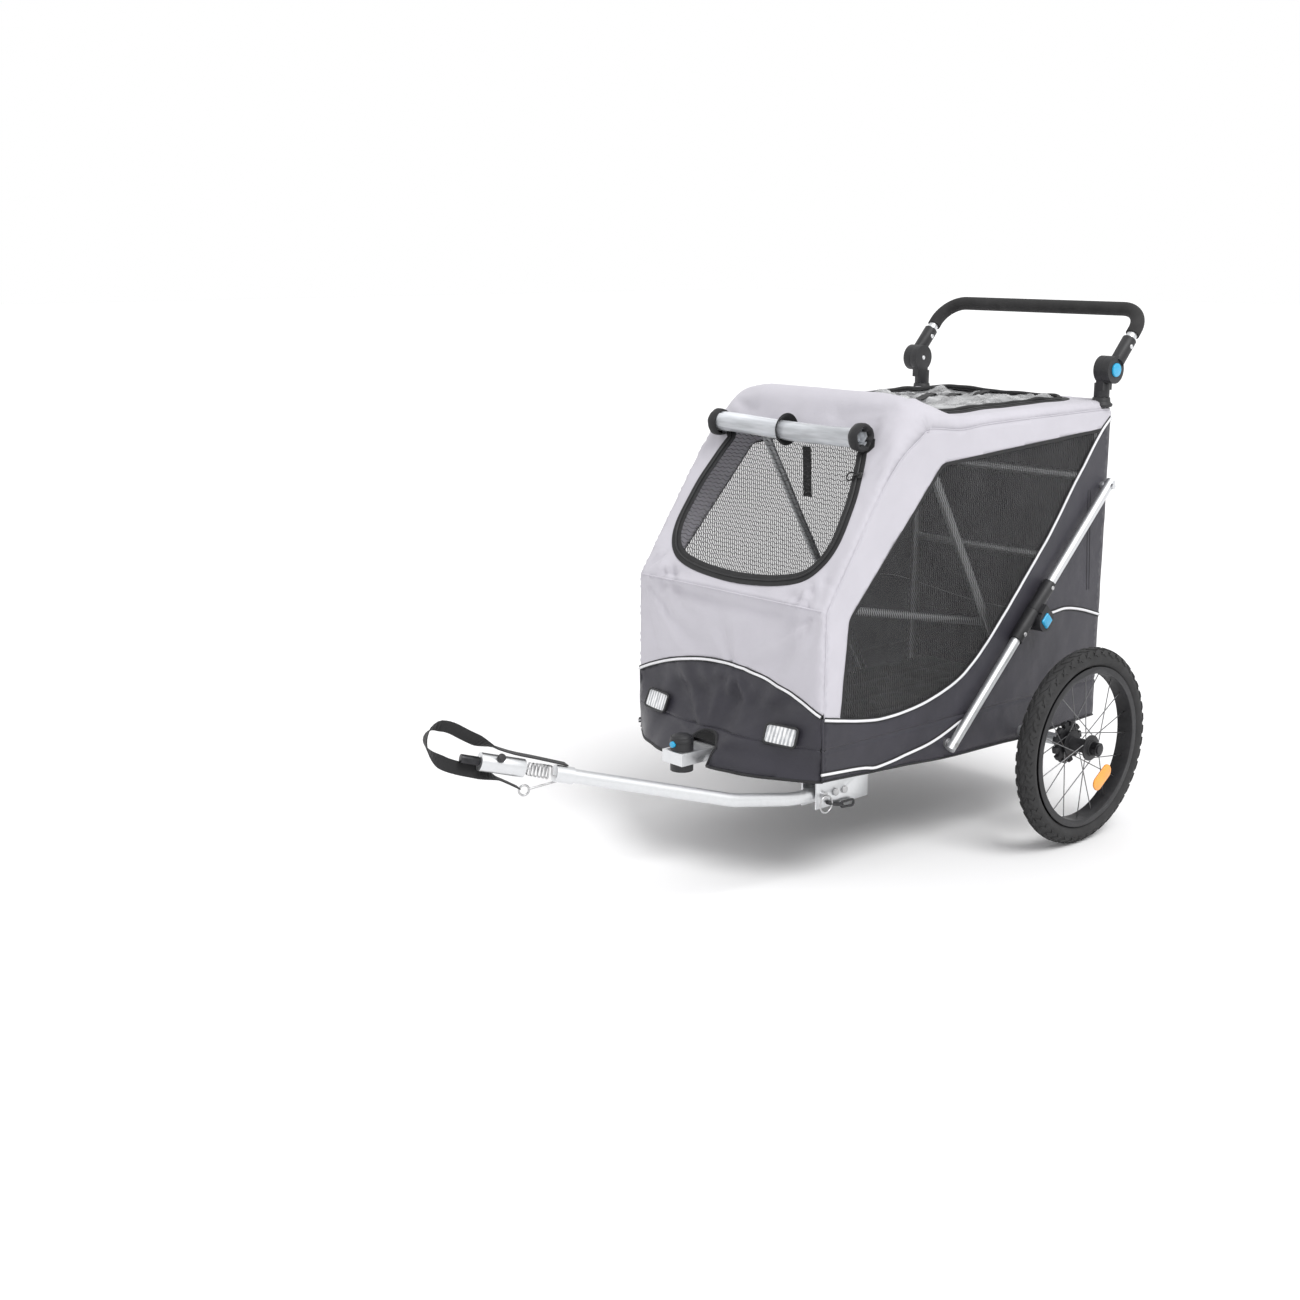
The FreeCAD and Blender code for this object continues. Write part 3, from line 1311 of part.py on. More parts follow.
bind(leaning, **{"Placement.Rotation.Angle": "atan2(reflector_offset * %s; %s)" % (low_share, bow_back)})
locate(leaning, ("reflector_offset", "axle_place - (%s)" % seat_there, "reflector_middle"))
pair("front_reflectors", [leaning])

# Tow bracket under the left front corner: a channel open below
TOW_IN = "tow_offset - tow_half_width"
TOW_OUT = "tow_offset + tow_half_width"
channel = block("TowChannel", (TOW_IN, "-tow_front", "tow_low"), (TOW_OUT, "-tow_rear", "rail_bottom"))
channel_room = block(
    "TowChannelRoom",
    (TOW_IN + " + tow_plate", "-tow_front - cut_over", "tow_low - cut_over"),
    (TOW_OUT + " - tow_plate", "-tow_rear + cut_over", "rail_bottom - tow_plate"))


def tow_rod(name, radius, place_name, low, high):
    return rod(name, radius, "%s - (%s)" % (high, low), (low, "-" + place_name, "tow_height"), "x")


TOW_BOLTS = ("tow_bolt_front", "tow_bolt_rear")
tow_holes = [
    tow_rod("TowHole%d" % i, "tow_bolt + run_gap", name, TOW_IN + " - cut_over", TOW_OUT + " + cut_over")
    for i, name in enumerate(TOW_BOLTS + ("tow_pin_place",))
]
node(place(cut("TowBracket", channel, [channel_room] + tow_holes)), "tow_bracket")
bolts = []
for i, name in enumerate(TOW_BOLTS):
    shank = tow_rod("TowShank%d" % i, "tow_bolt", name, TOW_IN + " - tow_bolt_head_length", TOW_OUT)
    heads = [
        tow_rod("TowHead%d" % i, "tow_bolt_head", name, TOW_OUT, TOW_OUT + " + tow_bolt_head_length"),
        tow_rod("TowNut%d" % i, "tow_bolt_head", name, TOW_IN + " - tow_bolt_head_length", TOW_IN),
    ]
    bolts.append(place(fuse("TowBolt%d" % i, [shank] + heads)))
group("tow_bracket_bolts", bolts)
pin_end = TOW_OUT + " + tow_pin_knob_length"
lock_shank = tow_rod("LockShank", "tow_bolt", "tow_pin_place", TOW_IN, TOW_OUT)
lock_head = tow_rod("LockHead", "tow_pin_knob", "tow_pin_place", TOW_OUT + " + run_gap", pin_end)
lock_neck = tow_rod("LockNeck", "tow_bolt", "tow_pin_place", TOW_OUT, pin_end)
lock_pin = place(fuse("LockPin", [lock_shank, lock_neck, lock_head]))
pin_ring = doc.addObject("Part::Torus", "PinRing")
pin_ring.Placement = FreeCAD.Placement(Vec(), TURNS["x"])
bind(pin_ring, Radius1="pin_ring_radius", Radius2="pin_ring_wire")
locate(pin_ring, (
    pin_end + " + pin_ring_wire", "axle_place - tow_pin_place",
    "tow_height - pin_ring_radius"))
group("tow_lock_pin", [lock_pin, pin_ring])

# Tow bar: level in the bracket, then bent inwards and up to the hitch
BAR = [
    Vec(size("tow_offset"), -size("bar_rear"), size("tow_height")),
    Vec(size("tow_offset"), -size("bar_level"), size("tow_height")),
    Vec(size("bar_bend_offset"), -size("bar_bend_place"), size("bar_bend_height")),
    Vec(size("bar_end_offset"), -size("bar_end_place"), size("bar_end_height")),
]
HITCH = (BAR[3] - BAR[2]).normalize()
HITCH_UP = HITCH.cross(Vec(0, 0, 1)).cross(HITCH).normalize()
HITCH_SIDE = HITCH.cross(Vec(0, 0, 1)).normalize() * -1


def bent_path(points, radii):
    """Straight runs joined by tangent arcs."""
    edges = []
    start = points[0]
    for i in range(1, len(points) - 1):
        back = (points[i - 1] - points[i]).normalize()
        ahead = (points[i + 1] - points[i]).normalize()
        half = back.getAngle(ahead) / 2
        reach = radii[i - 1] / math.tan(half)
        depth = radii[i - 1] / math.sin(half) - radii[i - 1]
        edges.append(Part.makeLine(start, points[i] + back * reach))
        middle = points[i] + (back + ahead).normalize() * depth
        edges.append(Part.Arc(points[i] + back * reach, middle, points[i] + ahead * reach).toShape())
        start = points[i] + ahead * reach
    edges.append(Part.makeLine(start, points[-1]))
    return Part.Wire(edges)


def swept(path, radius):
    """A round bar along a path."""
    start = path.Edges[0]
    heading = start.tangentAt(start.FirstParameter)
    ring = Part.Wire(Part.makeCircle(radius, start.valueAt(start.FirstParameter), heading))
    return path.makePipeShell([ring], True, False)


def along_hitch(distance, side=0, up=0):
    """A point counted from the end of the bar along the hitch line."""
    return BAR[3] + HITCH * distance + HITCH_SIDE * side + HITCH_UP * up


def hitch_rod(radius, start, end):
    return Part.makeCylinder(radius, end - start, along_hitch(start), HITCH)


def tow_bar():
    path = bent_path(BAR, [size("bar_first_radius"), size("bar_second_radius")])
    outer = swept(path, size("bar_radius"))
    inner = swept(path, size("bar_radius - bar_wall"))
    collar = hitch_rod(size("bar_collar_radius"), -size("bar_collar_back"), size("bar_collar_front"))
    bar = outer.cut(inner).fuse(collar)
    for name in TOW_BOLTS + ("tow_pin_place",):
        hole = Part.makeCylinder(
            size("tow_bolt + run_gap"), size("bar_radius") * 4,
            Vec(size("tow_offset - bar_radius * 2"), -size(name), size("tow_height")), Vec(1, 0, 0))
        bar = bar.cut(hole)
    return bar.removeSplitter()


solid("tow_bar", tow_bar())

# Hitch: a flexible spring, a housing with a sprung lock knob and the tongue that the axle plate takes
SPRING_START = size("bar_collar_front")
SPRING_END = size("bar_collar_front + spring_length")


def helix_points(turns, start, pitch, steps):
    """Points and directions on the spring's centre line, a few to each turn."""
    rows = []
    for i in range(turns * steps + 1):
        angle = 2 * math.pi * i / steps
        radius = size("spring_radius")
        point = along_hitch(start + pitch * i / steps, radius * math.cos(angle), radius * math.sin(angle))
        slope = pitch / (2 * math.pi)
        heading = (
            HITCH_SIDE * (-radius * math.sin(angle)) + HITCH_UP * (radius * math.cos(angle)) + HITCH * slope)
        rows.append((point, heading.normalize()))
    return rows


def tangent_arc(start, heading, end):
    """The arc that leaves a point along a heading and ends at another point."""
    chord = end - start
    across = (heading - chord * (heading.dot(chord) / chord.dot(chord))).normalize()
    turn = heading.getAngle(chord)
    middle = (start + end) * (1 / 2) + across * (chord.Length / 2 * math.tan(turn / 2))
    return Part.Arc(start, middle, end).toShape()


def joined_arcs(first, last):
    """Two tangent arcs from one point and heading to the next."""
    start, heading = first
    end, arrival = last
    gap = end - start
    both = heading + arrival
    spread = 2 * (1 - heading.dot(arrival))
    reach = (math.sqrt(gap.dot(both) ** 2 + 2 * spread * gap.dot(gap)) - gap.dot(both)) / spread
    joint = (start + end + (heading - arrival) * reach) * (1 / 2)
    middle_heading = (end - arrival * reach - start - heading * reach).normalize()
    return [tangent_arc(start, heading, joint), tangent_arc(joint, middle_heading, end)]


def hitch_spring():
    """One wire: a straight end square to the bar, a bend, the coils, a bend and a straight end."""
    wire = size("spring_wire")
    bend = wire * 2
    end_room = size("body_gap") + wire * 3 + bend
    coils_start = SPRING_START + end_room
    coils_end = SPRING_END - end_room
    rows = helix_points(SPRING_TURNS, coils_start, (coils_end - coils_start) / SPRING_TURNS, 4)
    first, heading = rows[0]
    last, leaving = rows[-1]
    foot = first - heading * bend - HITCH * bend
    top = last + leaving * bend + HITCH * bend
    low_end = along_hitch(SPRING_START + size("body_gap"))
    high_end = along_hitch(SPRING_END - size("body_gap"))
    low_run = HITCH.dot(foot - low_end)
    high_run = HITCH.dot(high_end - top)
    edges = [Part.makeLine(foot - HITCH * low_run, foot), tangent_arc(foot, HITCH, first)]
    for before, after in zip(rows, rows[1:]):
        edges += joined_arcs(before, after)
    edges += [tangent_arc(last, leaving, top), Part.makeLine(top, top + HITCH * high_run)]
    path = Part.Wire(edges)
    print("spring: wire length %.1f, coil gap %.2f" % (
        path.Length, (coils_end - coils_start) / SPRING_TURNS - wire * 2))
    ring = Part.Wire(Part.makeCircle(wire, edges[0].firstVertex().Point, HITCH))
    return path.makePipeShell([ring], True, False)


solid("hitch_spring", hitch_spring())

HOUSING_END = SPRING_END + size("housing_length")
knob_turn = (HITCH_SIDE + HITCH_UP).normalize()
knob_root = along_hitch(SPRING_END + size("knob_along"))


def knob_rod(radius, start, end):
    return Part.makeCylinder(radius, end - start, knob_root + knob_turn * start, knob_turn)


def hitch_housing():
    shell = hitch_rod(size("housing_radius"), SPRING_END, HOUSING_END)
    seat = hitch_rod(
        size("tongue_neck_radius + run_gap"),
        HOUSING_END - size("tongue_insert"),
        HOUSING_END + size("cut_over"))
    stem_room = knob_rod(
        size("knob_stem + run_gap"),
        size("housing_radius - knob_sink - body_gap"),
        size("housing_radius + knob_rise"))
    return shell.cut(seat).cut(stem_room)


def hitch_tongue():
    shoulder = HOUSING_END + size("tongue_shoulder")
    neck = hitch_rod(size("tongue_neck_radius"), HOUSING_END - size("tongue_insert"), shoulder)
    head = hitch_rod(size("tongue_radius"), shoulder, HOUSING_END + size("tongue_stand"))
    return neck.fuse(head)


def hitch_knob():
    stem = knob_rod(size("knob_stem"), size("housing_radius - knob_sink"), size("housing_radius + knob_rise"))
    head = knob_rod(
        size("knob_radius"),
        size("housing_radius + body_gap"),
        size("housing_radius + body_gap + knob_length"))
    return stem.fuse(head).removeSplitter()


solid("hitch_housing", hitch_housing())
solid("hitch_tongue", hitch_tongue())
solid("hitch_knob", hitch_knob())

# Safety strap: webbing from the collar over the hitch, round a loop and back below it, with a hook on its end
STRAP_ROUTE = [
    (-13, 17.3), (16, 19), (48, 21), (84, 22), (124, 29), (160, 38), (198, 53), (226, 44),
    (238, 20), (231, 0), (210, -15), (179, -20), (146, -20.5), (110, -26), (74, -38),
]


def strap_point(distance, rise):
    level = Vec(HITCH.x, HITCH.y, 0).normalize()
    line = HITCH.z / math.hypot(HITCH.x, HITCH.y)
    lifted = Vec(0, 0, distance * line + rise)
    return BAR[3] + level * distance + lifted - HITCH_SIDE * size("strap_side")


def safety_strap():
    """A flat band that follows its route in the upright plane of the hitch."""
    level = Vec(HITCH.x, HITCH.y, 0).normalize()
    across = level.cross(Vec(0, 0, 1)).normalize()
    points = [strap_point(*place_and_rise) for place_and_rise in STRAP_ROUTE]
    radii = []
    strap_bend_share = 9 / 20
    for before, here, after in zip(points, points[1:], points[2:]):
        back = before - here
        ahead = after - here
        shorter = min(back.Length, ahead.Length)
        half = back.getAngle(ahead) / 2
        radii.append(shorter * strap_bend_share * math.tan(half))
    path = bent_path(points, radii)
    start = path.Edges[0]
    heading = start.tangentAt(start.FirstParameter)
    upright = across.cross(heading).normalize()
    wide = across * size("strap_width / 2")
    thick = upright * size("strap_thick / 2")
    root = points[0]
    ring = [root + wide + thick, root - wide + thick, root - wide - thick, root + wide - thick]
    section = Part.makePolygon(ring + ring[:1])
    print("strap: length %.1f, least bend %.1f" % (path.Length, min(radii)))
    return path.makePipeShell([section], True, False)


solid("safety_strap", safety_strap())


def strap_hook():
    """A wire ring through the strap's end and a link from it back to the collar."""
    end = strap_point(*STRAP_ROUTE[-1])
    before = strap_point(*STRAP_ROUTE[-2])
    eye = along_hitch(0, -size("strap_side"), -size("bar_collar_radius + body_gap"))
    heading = (end - before).normalize()
    across = heading.cross(Vec(0, 0, 1)).normalize()
    middle = end + heading * size("hook_radius + hook_wire + body_gap")
    ring = Part.makeTorus(size("hook_radius"), size("hook_wire"), middle, across)
    length = (eye - middle).Length
    link = Part.makeCylinder(size("hook_wire"), length - size("hook_radius"), eye, middle - eye)
    return ring.fuse(link).removeSplitter()


solid("strap_hook", strap_hook())

# Check every object, then write each sub-part
doc.recompute()
faults = [thing.Name for thing in doc.Objects if {"Invalid", "Error"} & set(thing.State)]
assert not faults, faults
labels = [thing.Label for thing in NODES]
assert len(set(labels)) == len(labels) <= 60, len(labels)
for thing in NODES:
    assert not thing.Shape.isNull() and thing.Shape.isValid() and thing.Shape.Solids, thing.Label
os.makedirs("parts", exist_ok=True)
for thing in NODES:
    thing.Shape.exportStep("parts/%s.step" % thing.Label)
print("%d nodes written" % len(NODES))
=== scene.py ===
import bmesh
import bpy
from math import atan2, cos, exp, hypot, pi, radians, sin, sqrt, tan
from mathutils import Matrix, Vector, kdtree, noise
from mathutils.geometry import delaunay_2d_cdt


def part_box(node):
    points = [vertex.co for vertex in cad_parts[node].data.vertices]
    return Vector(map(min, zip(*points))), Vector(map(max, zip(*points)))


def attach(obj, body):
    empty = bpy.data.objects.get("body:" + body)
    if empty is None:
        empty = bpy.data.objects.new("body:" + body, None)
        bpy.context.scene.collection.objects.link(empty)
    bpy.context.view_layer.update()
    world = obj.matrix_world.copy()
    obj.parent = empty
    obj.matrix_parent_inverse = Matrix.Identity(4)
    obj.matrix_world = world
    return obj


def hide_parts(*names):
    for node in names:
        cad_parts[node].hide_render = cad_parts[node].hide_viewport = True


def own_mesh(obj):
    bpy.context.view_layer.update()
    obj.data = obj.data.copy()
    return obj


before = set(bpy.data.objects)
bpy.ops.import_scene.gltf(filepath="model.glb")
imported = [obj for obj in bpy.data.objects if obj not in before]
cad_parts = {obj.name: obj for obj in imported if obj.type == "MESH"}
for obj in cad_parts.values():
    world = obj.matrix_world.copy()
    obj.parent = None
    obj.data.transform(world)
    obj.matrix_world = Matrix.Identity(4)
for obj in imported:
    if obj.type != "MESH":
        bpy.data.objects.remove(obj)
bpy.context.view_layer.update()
scene = bpy.context.scene
MM = 0.001
AXLE = 0.47672


def at(x, y, z):
    """A point given in millimetres, counted lengthwise from the axle."""
    return Vector((x * MM, y * MM + AXLE, z * MM))


# Camera, light and floor

CAMERA_PLACE = (2382.9, -2894.5, 1177.4)
CAMERA_ANGLES = (48.6, 13.0, 0.2)
FOCAL_PIXELS = 1768.5
PICTURE_PIXELS = 1300


def look():
    azimuth, pitch, roll = (radians(angle) for angle in CAMERA_ANGLES)
    back = Vector((
        sin(azimuth) * cos(pitch), -cos(azimuth) * cos(pitch), sin(pitch)))
    right = Vector((cos(azimuth), sin(azimuth), 0))
    up = back.cross(right)
    right, up = right * cos(roll) + up * sin(roll), up * cos(roll) - right * sin(roll)
    data = bpy.data.cameras.new("Camera")
    data.sensor_width = 36
    data.lens = data.sensor_width * FOCAL_PIXELS / PICTURE_PIXELS
    data.clip_end = 50
    camera = bpy.data.objects.new("Camera", data)
    scene.collection.objects.link(camera)
    turn = Matrix((right, up, back)).transposed().to_4x4()
    camera.matrix_world = Matrix.Translation(at(*CAMERA_PLACE)) @ turn
    scene.camera = camera


def soft_sun(name, towards, spread, strength):
    """A sun that stands towards a direction, its disc spread over an angle in degrees."""
    data = bpy.data.lights.new(name, "SUN")
    data.angle = radians(spread)
    data.energy = strength
    light = bpy.data.objects.new(name, data)
    scene.collection.objects.link(light)
    light.location = Vector(towards) * 3
    light.rotation_euler = Vector(towards).to_track_quat("Z", "Y").to_euler()


def studio():
    """A white room to the eye and in reflections, with a fainter even light on the surfaces."""
    world = bpy.data.worlds.new("Studio")
    scene.world = world
    world.use_nodes = True
    tree = world.node_tree
    tree.nodes.clear()
    out = tree.nodes.new("ShaderNodeOutputWorld")
    mix = tree.nodes.new("ShaderNodeMixShader")
    ambient, white = (0.985, 0.98, 0.99, 1), (1, 1, 1, 1)
    for socket, colour, strength in ((1, ambient, 0.86), (2, white, 1.0)):
        light = tree.nodes.new("ShaderNodeBackground")
        light.inputs["Color"].default_value = colour
        light.inputs["Strength"].default_value = strength
        tree.links.new(light.outputs[0], mix.inputs[socket])
    path = tree.nodes.new("ShaderNodeLightPath")
    either = path.outputs["Is Camera Ray"]
    for name in ("Is Glossy Ray", "Is Transmission Ray"):
        add = tree.nodes.new("ShaderNodeMath")
        add.operation = "MAXIMUM"
        tree.links.new(either, add.inputs[0])
        tree.links.new(path.outputs[name], add.inputs[1])
        either = add.outputs[0]
    tree.links.new(either, mix.inputs[0])
    tree.links.new(mix.outputs[0], out.inputs[0])
    soft_sun("Key", (0.62, -0.06, 0.95), 34, 1.7)
    scene.view_settings.view_transform = "Standard"


def build_floor():
    reach = 30
    mesh = bpy.data.meshes.new("Floor")
    corners = [(-reach, -reach, 0), (reach, -reach, 0), (reach, reach, 0), (-reach, reach, 0)]
    mesh.from_pydata(corners, [], [(0, 1, 2, 3)])
    floor = bpy.data.objects.new("Floor", mesh)
    scene.collection.objects.link(floor)
    made = Surface("PaleFloor", Roughness=0.9)
    made.colour(made.ramp(made.noise(0.8), [(0.3, (0.93, 0.93, 0.93)), (0.7, (0.96, 0.96, 0.96))]))
    mesh.materials.append(made.mat)


# Materials

class Surface:
    """A node material with helpers for procedural colour, roughness and bump."""

    def __init__(self, name, **values):
        self.mat = bpy.data.materials.new(name)
        self.mat.use_nodes = True
        self.tree = self.mat.node_tree
        self.shader = self.tree.nodes["Principled BSDF"]
        for key, value in values.items():
            self.shader.inputs[key.replace("_", " ")].default_value = value

    def node(self, kind, *links, **settings):
        made = self.tree.nodes.new(kind)
        for key, value in settings.items():
            if hasattr(made, key):
                setattr(made, key, value)
            else:
                made.inputs[key].default_value = value
        for socket, source in links:
            self.tree.links.new(source, made.inputs[socket])
        return made

    def math(self, operation, first, second=None):
        made = self.node("ShaderNodeMath", operation=operation)
        for i, value in enumerate((first, second)):
            if value is None:
                continue
            if isinstance(value, (int, float)):
                made.inputs[i].default_value = value
            else:
                self.tree.links.new(value, made.inputs[i])
        return made.outputs[0]

    def coords(self, kind="Object", scale=(1, 1, 1)):
        source = self.node("ShaderNodeTexCoord").outputs[kind]
        if tuple(scale) == (1, 1, 1):
            return source
        mapped = self.node("ShaderNodeMapping", ("Vector", source))
        mapped.inputs["Scale"].default_value = scale
        return mapped.outputs[0]

    def noise(self, scale, detail=3.0, where=None, roughness=0.55):
        made = self.node(
            "ShaderNodeTexNoise", ("Vector", where or self.coords()), Detail=detail, Roughness=roughness,
            Scale=scale)
        return made.outputs[0]

    def ramp(self, source, stops):
        made = self.node("ShaderNodeValToRGB", ("Fac", source))
        elements = made.color_ramp.elements
        while len(elements) < len(stops):
            elements.new(0.5)
        for element, (place, colour) in zip(elements, stops):
            element.position = place
            element.color = (*colour, 1)
        return made.outputs[0]

    def colour(self, source):
        self.tree.links.new(source, self.shader.inputs["Base Color"])

    def mottle(self, source, colour, vary, low=0.3, high=0.7):
        """A colour that a pattern makes darker and lighter by a share."""
        return self.ramp(source, [(low, shade(colour, 1 - vary)), (high, shade(colour, 1 + vary))])

    def remap(self, target, source, values, limits=(0.0, 1.0)):
        """Drive an input of the shader by a pattern, its limits taken to two values."""
        made = self.node("ShaderNodeMapRange", ("Value", source))
        for name, value in zip(("From Min", "From Max", "To Min", "To Max"), (*limits, *values)):
            made.inputs[name].default_value = value
        self.tree.links.new(made.outputs[0], self.shader.inputs[target])

    def rough(self, source, low, high):
        self.remap("Roughness", source, (low, high))

    def bump(self, layers):
        """Heights, each as (source, strength, distance in metres), one over the other."""
        normal = None
        for source, strength, distance in layers:
            made = self.node("ShaderNodeBump", ("Height", source), Strength=strength, Distance=distance)
            if normal is not None:
                self.tree.links.new(normal, made.inputs["Normal"])
            normal = made.outputs[0]
        self.tree.links.new(normal, self.shader.inputs["Normal"])

    def split(self, kind):
        """The coordinates of a kind, each on its own."""
        return self.node("ShaderNodeSeparateXYZ", ("Vector", self.coords(kind))).outputs

    def wave(self, place, pitch):
        """A sine of a coordinate in metres."""
        return self.math("SINE", self.math("MULTIPLY", place, 2 * pi / pitch))


def shade(colour, factor):
    return tuple(c * factor for c in colour)


def moulded(name, colour, rough=(0.42, 0.6), grain=2200, vary=0.25, **values):
    made = Surface(name, **values)
    made.colour(made.mottle(made.noise(28), colour, vary))
    made.rough(made.noise(90), *rough)
    made.bump([(made.noise(grain, 2), 0.25, 0.0002)])
    return made.mat


def metal(name, colour, rough, vary):
    made = Surface(name, Metallic=1.0)
    made.colour(made.mottle(made.noise(120, 4), colour, vary))
    made.rough(made.noise(160), *rough)
    made.bump([(made.noise(700, 2), 0.03, 0.0001)])
    return made.mat


def woven(name, colour, pitch=0.0016, vary=0.05, sheen=0.15, rough=(0.72, 0.9), crease=0.35, **values):
    """Coated cloth: fine weave, faint mottling and soft small creases."""
    made = Surface(name, Sheen_Weight=sheen, Sheen_Roughness=0.5, **values)
    place = made.split("UV")
    weave = made.math("MULTIPLY", made.wave(place[0], pitch), made.wave(place[1], pitch))
    base = made.mottle(made.noise(9, 4), colour, vary, 0.25, 0.75)
    tint = made.node(
        "ShaderNodeMixRGB", ("Fac", made.math("MULTIPLY_ADD", weave, 0.08)), ("Color1", base),
        blend_type="MULTIPLY", Color2=(0.6, 0.6, 0.62, 1))
    made.colour(tint.outputs[0])
    made.rough(made.noise(40), *rough)
    made.bump([(made.noise(14, 5, roughness=0.5), crease, 0.004), (weave, 0.3, 0.0003)])
    return made.mat


def net(name, colour, pitch, limit, sway, line=0.0, upright=False):
    """Knitted netting: wavy threads side by side, as an alpha pattern on the panel's flat coordinates."""
    made = Surface(name, Roughness=0.75)
    place = made.split("UV")
    along, across = (place[1], place[0]) if upright else (place[0], place[1])
    swing = made.wave(along, pitch[0])
    drift = made.math("MULTIPLY", made.math("SUBTRACT", made.noise(7, 1), 0.5), 4.0)
    sideways = made.math("MULTIPLY", across, pi / pitch[1])
    phase = made.math("ADD", made.math("MULTIPLY", swing, sway), sideways)
    weave = made.math("ABSOLUTE", made.math("SINE", made.math("ADD", phase, drift)))
    made.remap("Alpha", weave, (1.0, line), (limit - 0.12, limit + 0.12))
    made.colour(made.ramp(made.noise(14, 3), [(0.3, shade(colour, 0.8)), (0.7, shade(colour, 1.25))]))
    made.bump([(weave, 0.4, 0.0006)])
    return made.mat


def film(name, colour, alpha, crumple, stretch=(1, 1, 1)):
    made = Surface(name, Alpha=alpha, Coat_Weight=0.6, Coat_Roughness=0.04)
    where = made.coords("Object", stretch)
    # The crumple pattern bumps the film and also darkens and lightens its colour: painted dark streak
    # reflections and painted highlights, the brightest above the film's own colour.
    crumples_and_glints = made.noise(crumple, 4, where)
    painted_glints = ((0.36, 0.58), (0.5, 0.95), (0.62, 1.25))
    made.colour(made.ramp(crumples_and_glints, [(stop, shade(colour, tone)) for stop, tone in painted_glints]))
    made.rough(made.noise(50), 0.05, 0.18)
    made.bump([(crumples_and_glints, 0.75, 0.008), (made.noise(crumple * 4, 3, where), 0.35, 0.002)])
    return made.mat


def ribbed(name, pitch):
    """A clear reflector lens: upright ribs, with painted reflections that make them bright and grey by turns.
    """
    made = Surface(name, Coat_Weight=0.7, Coat_Roughness=0.04)
    rib = made.wave(made.split("Object")[0], pitch)
    # Painted reflections: upright streaks and the ribs' bright and grey turns are put into the colour.
    painted_streaks = made.noise(120, 3, made.coords("Object", (1, 1, 0.15)))
    blend = made.math("ADD", made.math("MULTIPLY", rib, 0.22), painted_streaks)
    made.colour(made.ramp(blend, [
        (0.3, (0.42, 0.43, 0.45)), (0.55, (0.78, 0.79, 0.80)), (0.75, (0.92, 0.92, 0.92))]))
    made.rough(made.noise(200), 0.08, 0.2)
    made.bump([(rib, 0.3, 0.0008)])
    return made.mat


LILAC = (0.70, 0.682, 0.73)
SLATE = (0.036, 0.034, 0.046)
MATERIALS = {}


def make_materials():
    MATERIALS.update(
        cover=woven("CoverCloth", LILAC, vary=0.045, crease=0.7),
        slate=woven(
            "SlateCloth", SLATE, vary=0.16, sheen=0.08, rough=(0.33, 0.46), crease=0.7,
            Specular_IOR_Level=0.4),
        lining=woven("BlackCloth", (0.02, 0.02, 0.022), vary=0.2, sheen=0.1),
        net=net("BlackNet", (0.03, 0.03, 0.031), (0.017, 0.0086), 0.21, 0.5),
        side_net=net("SideNet", (0.036, 0.036, 0.037), (0.011, 0.0060), 0.54, 0.5, 0.42, upright=True),
        webbing=woven("Webbing", (0.014, 0.014, 0.015), pitch=0.0024, vary=0.2, sheen=0.1, crease=0.15),
        coil=moulded("ZipCoil", (0.012, 0.012, 0.013), rough=(0.3, 0.5), grain=1400),
        zip=moulded("ZipTape", (0.012, 0.012, 0.013), rough=(0.55, 0.75), grain=900),
        piping=moulded("ReflectivePiping", (0.8, 0.8, 0.82), rough=(0.3, 0.45), grain=600, vary=0.06),
        film=film("ClearFilm", (0.84, 0.85, 0.86), 0.45, 26),
        # The rolled film's pattern is stretched along the roll, so its painted highlights and painted dark
        # reflections lie as streaks.
        roll_film=film("RolledFilm", (0.74, 0.765, 0.80), 0.85, 30, stretch=(0.12, 1, 1)),
        dark_steel=metal("BlackenedSteel", (0.05, 0.05, 0.053), rough=(0.3, 0.45), vary=0.2),
        silver=metal("SatinTube", (0.70, 0.71, 0.722), rough=(0.38, 0.46), vary=0.025),
        steel=metal("ZincSteel", (0.50, 0.50, 0.505), rough=(0.22, 0.4), vary=0.12),
        spoke=metal("SpokeWire", (0.20, 0.20, 0.205), rough=(0.3, 0.45), vary=0.12),
        plastic=moulded("BlackPlastic", (0.017, 0.017, 0.019)),
        blue=moulded("BlueButton", (0.015, 0.38, 0.66), rough=(0.2, 0.32), vary=0.08, Coat_Weight=0.4),
        rubber=moulded("TyreRubber", (0.024, 0.0238, 0.0245), rough=(0.68, 0.85), grain=1500),
        foam=moulded("GripFoam", (0.022, 0.0216, 0.022), rough=(0.75, 0.9), grain=1800),
        amber=moulded(
            "AmberLens", (0.95, 0.36, 0.03), rough=(0.1, 0.2), grain=500, vary=0.12, Coat_Weight=0.6),
        lens=ribbed("WhiteLens", 0.0085),
    )


# Mesh building

CLOTH = 1.2


def finish_piece(name, mesh, mat, body="base", smooth=True):
    piece = bpy.data.objects.new(name, mesh)
    scene.collection.objects.link(piece)
    mesh.materials.append(MATERIALS[mat])
    if smooth:
        mesh.polygons.foreach_set("use_smooth", [True] * len(mesh.polygons))
    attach(piece, body)
    return piece


def from_data(name, verts, faces, mat, body="base", smooth=True, flat=None):
    """A piece from points and faces, with flat coordinates in metres where its weave needs them."""
    mesh = bpy.data.meshes.new(name)
    mesh.from_pydata([tuple(v) for v in verts], [], faces)
    if flat:
        layer = mesh.uv_layers.new(name="UVMap")
        for loop in mesh.loops:
            layer.data[loop.index].uv = flat[loop.vertex_index]
    mesh.update()
    return finish_piece(name, mesh, mat, body, smooth)


def outward(piece, weld=0.0):
    """Turn a piece's faces outward, its points welded first where they meet."""
    made = bmesh.new()
    made.from_mesh(piece.data)
    if weld:
        bmesh.ops.remove_doubles(made, verts=made.verts, dist=weld)
    bmesh.ops.recalc_face_normals(made, faces=made.faces)
    made.to_mesh(piece.data)
    made.free()


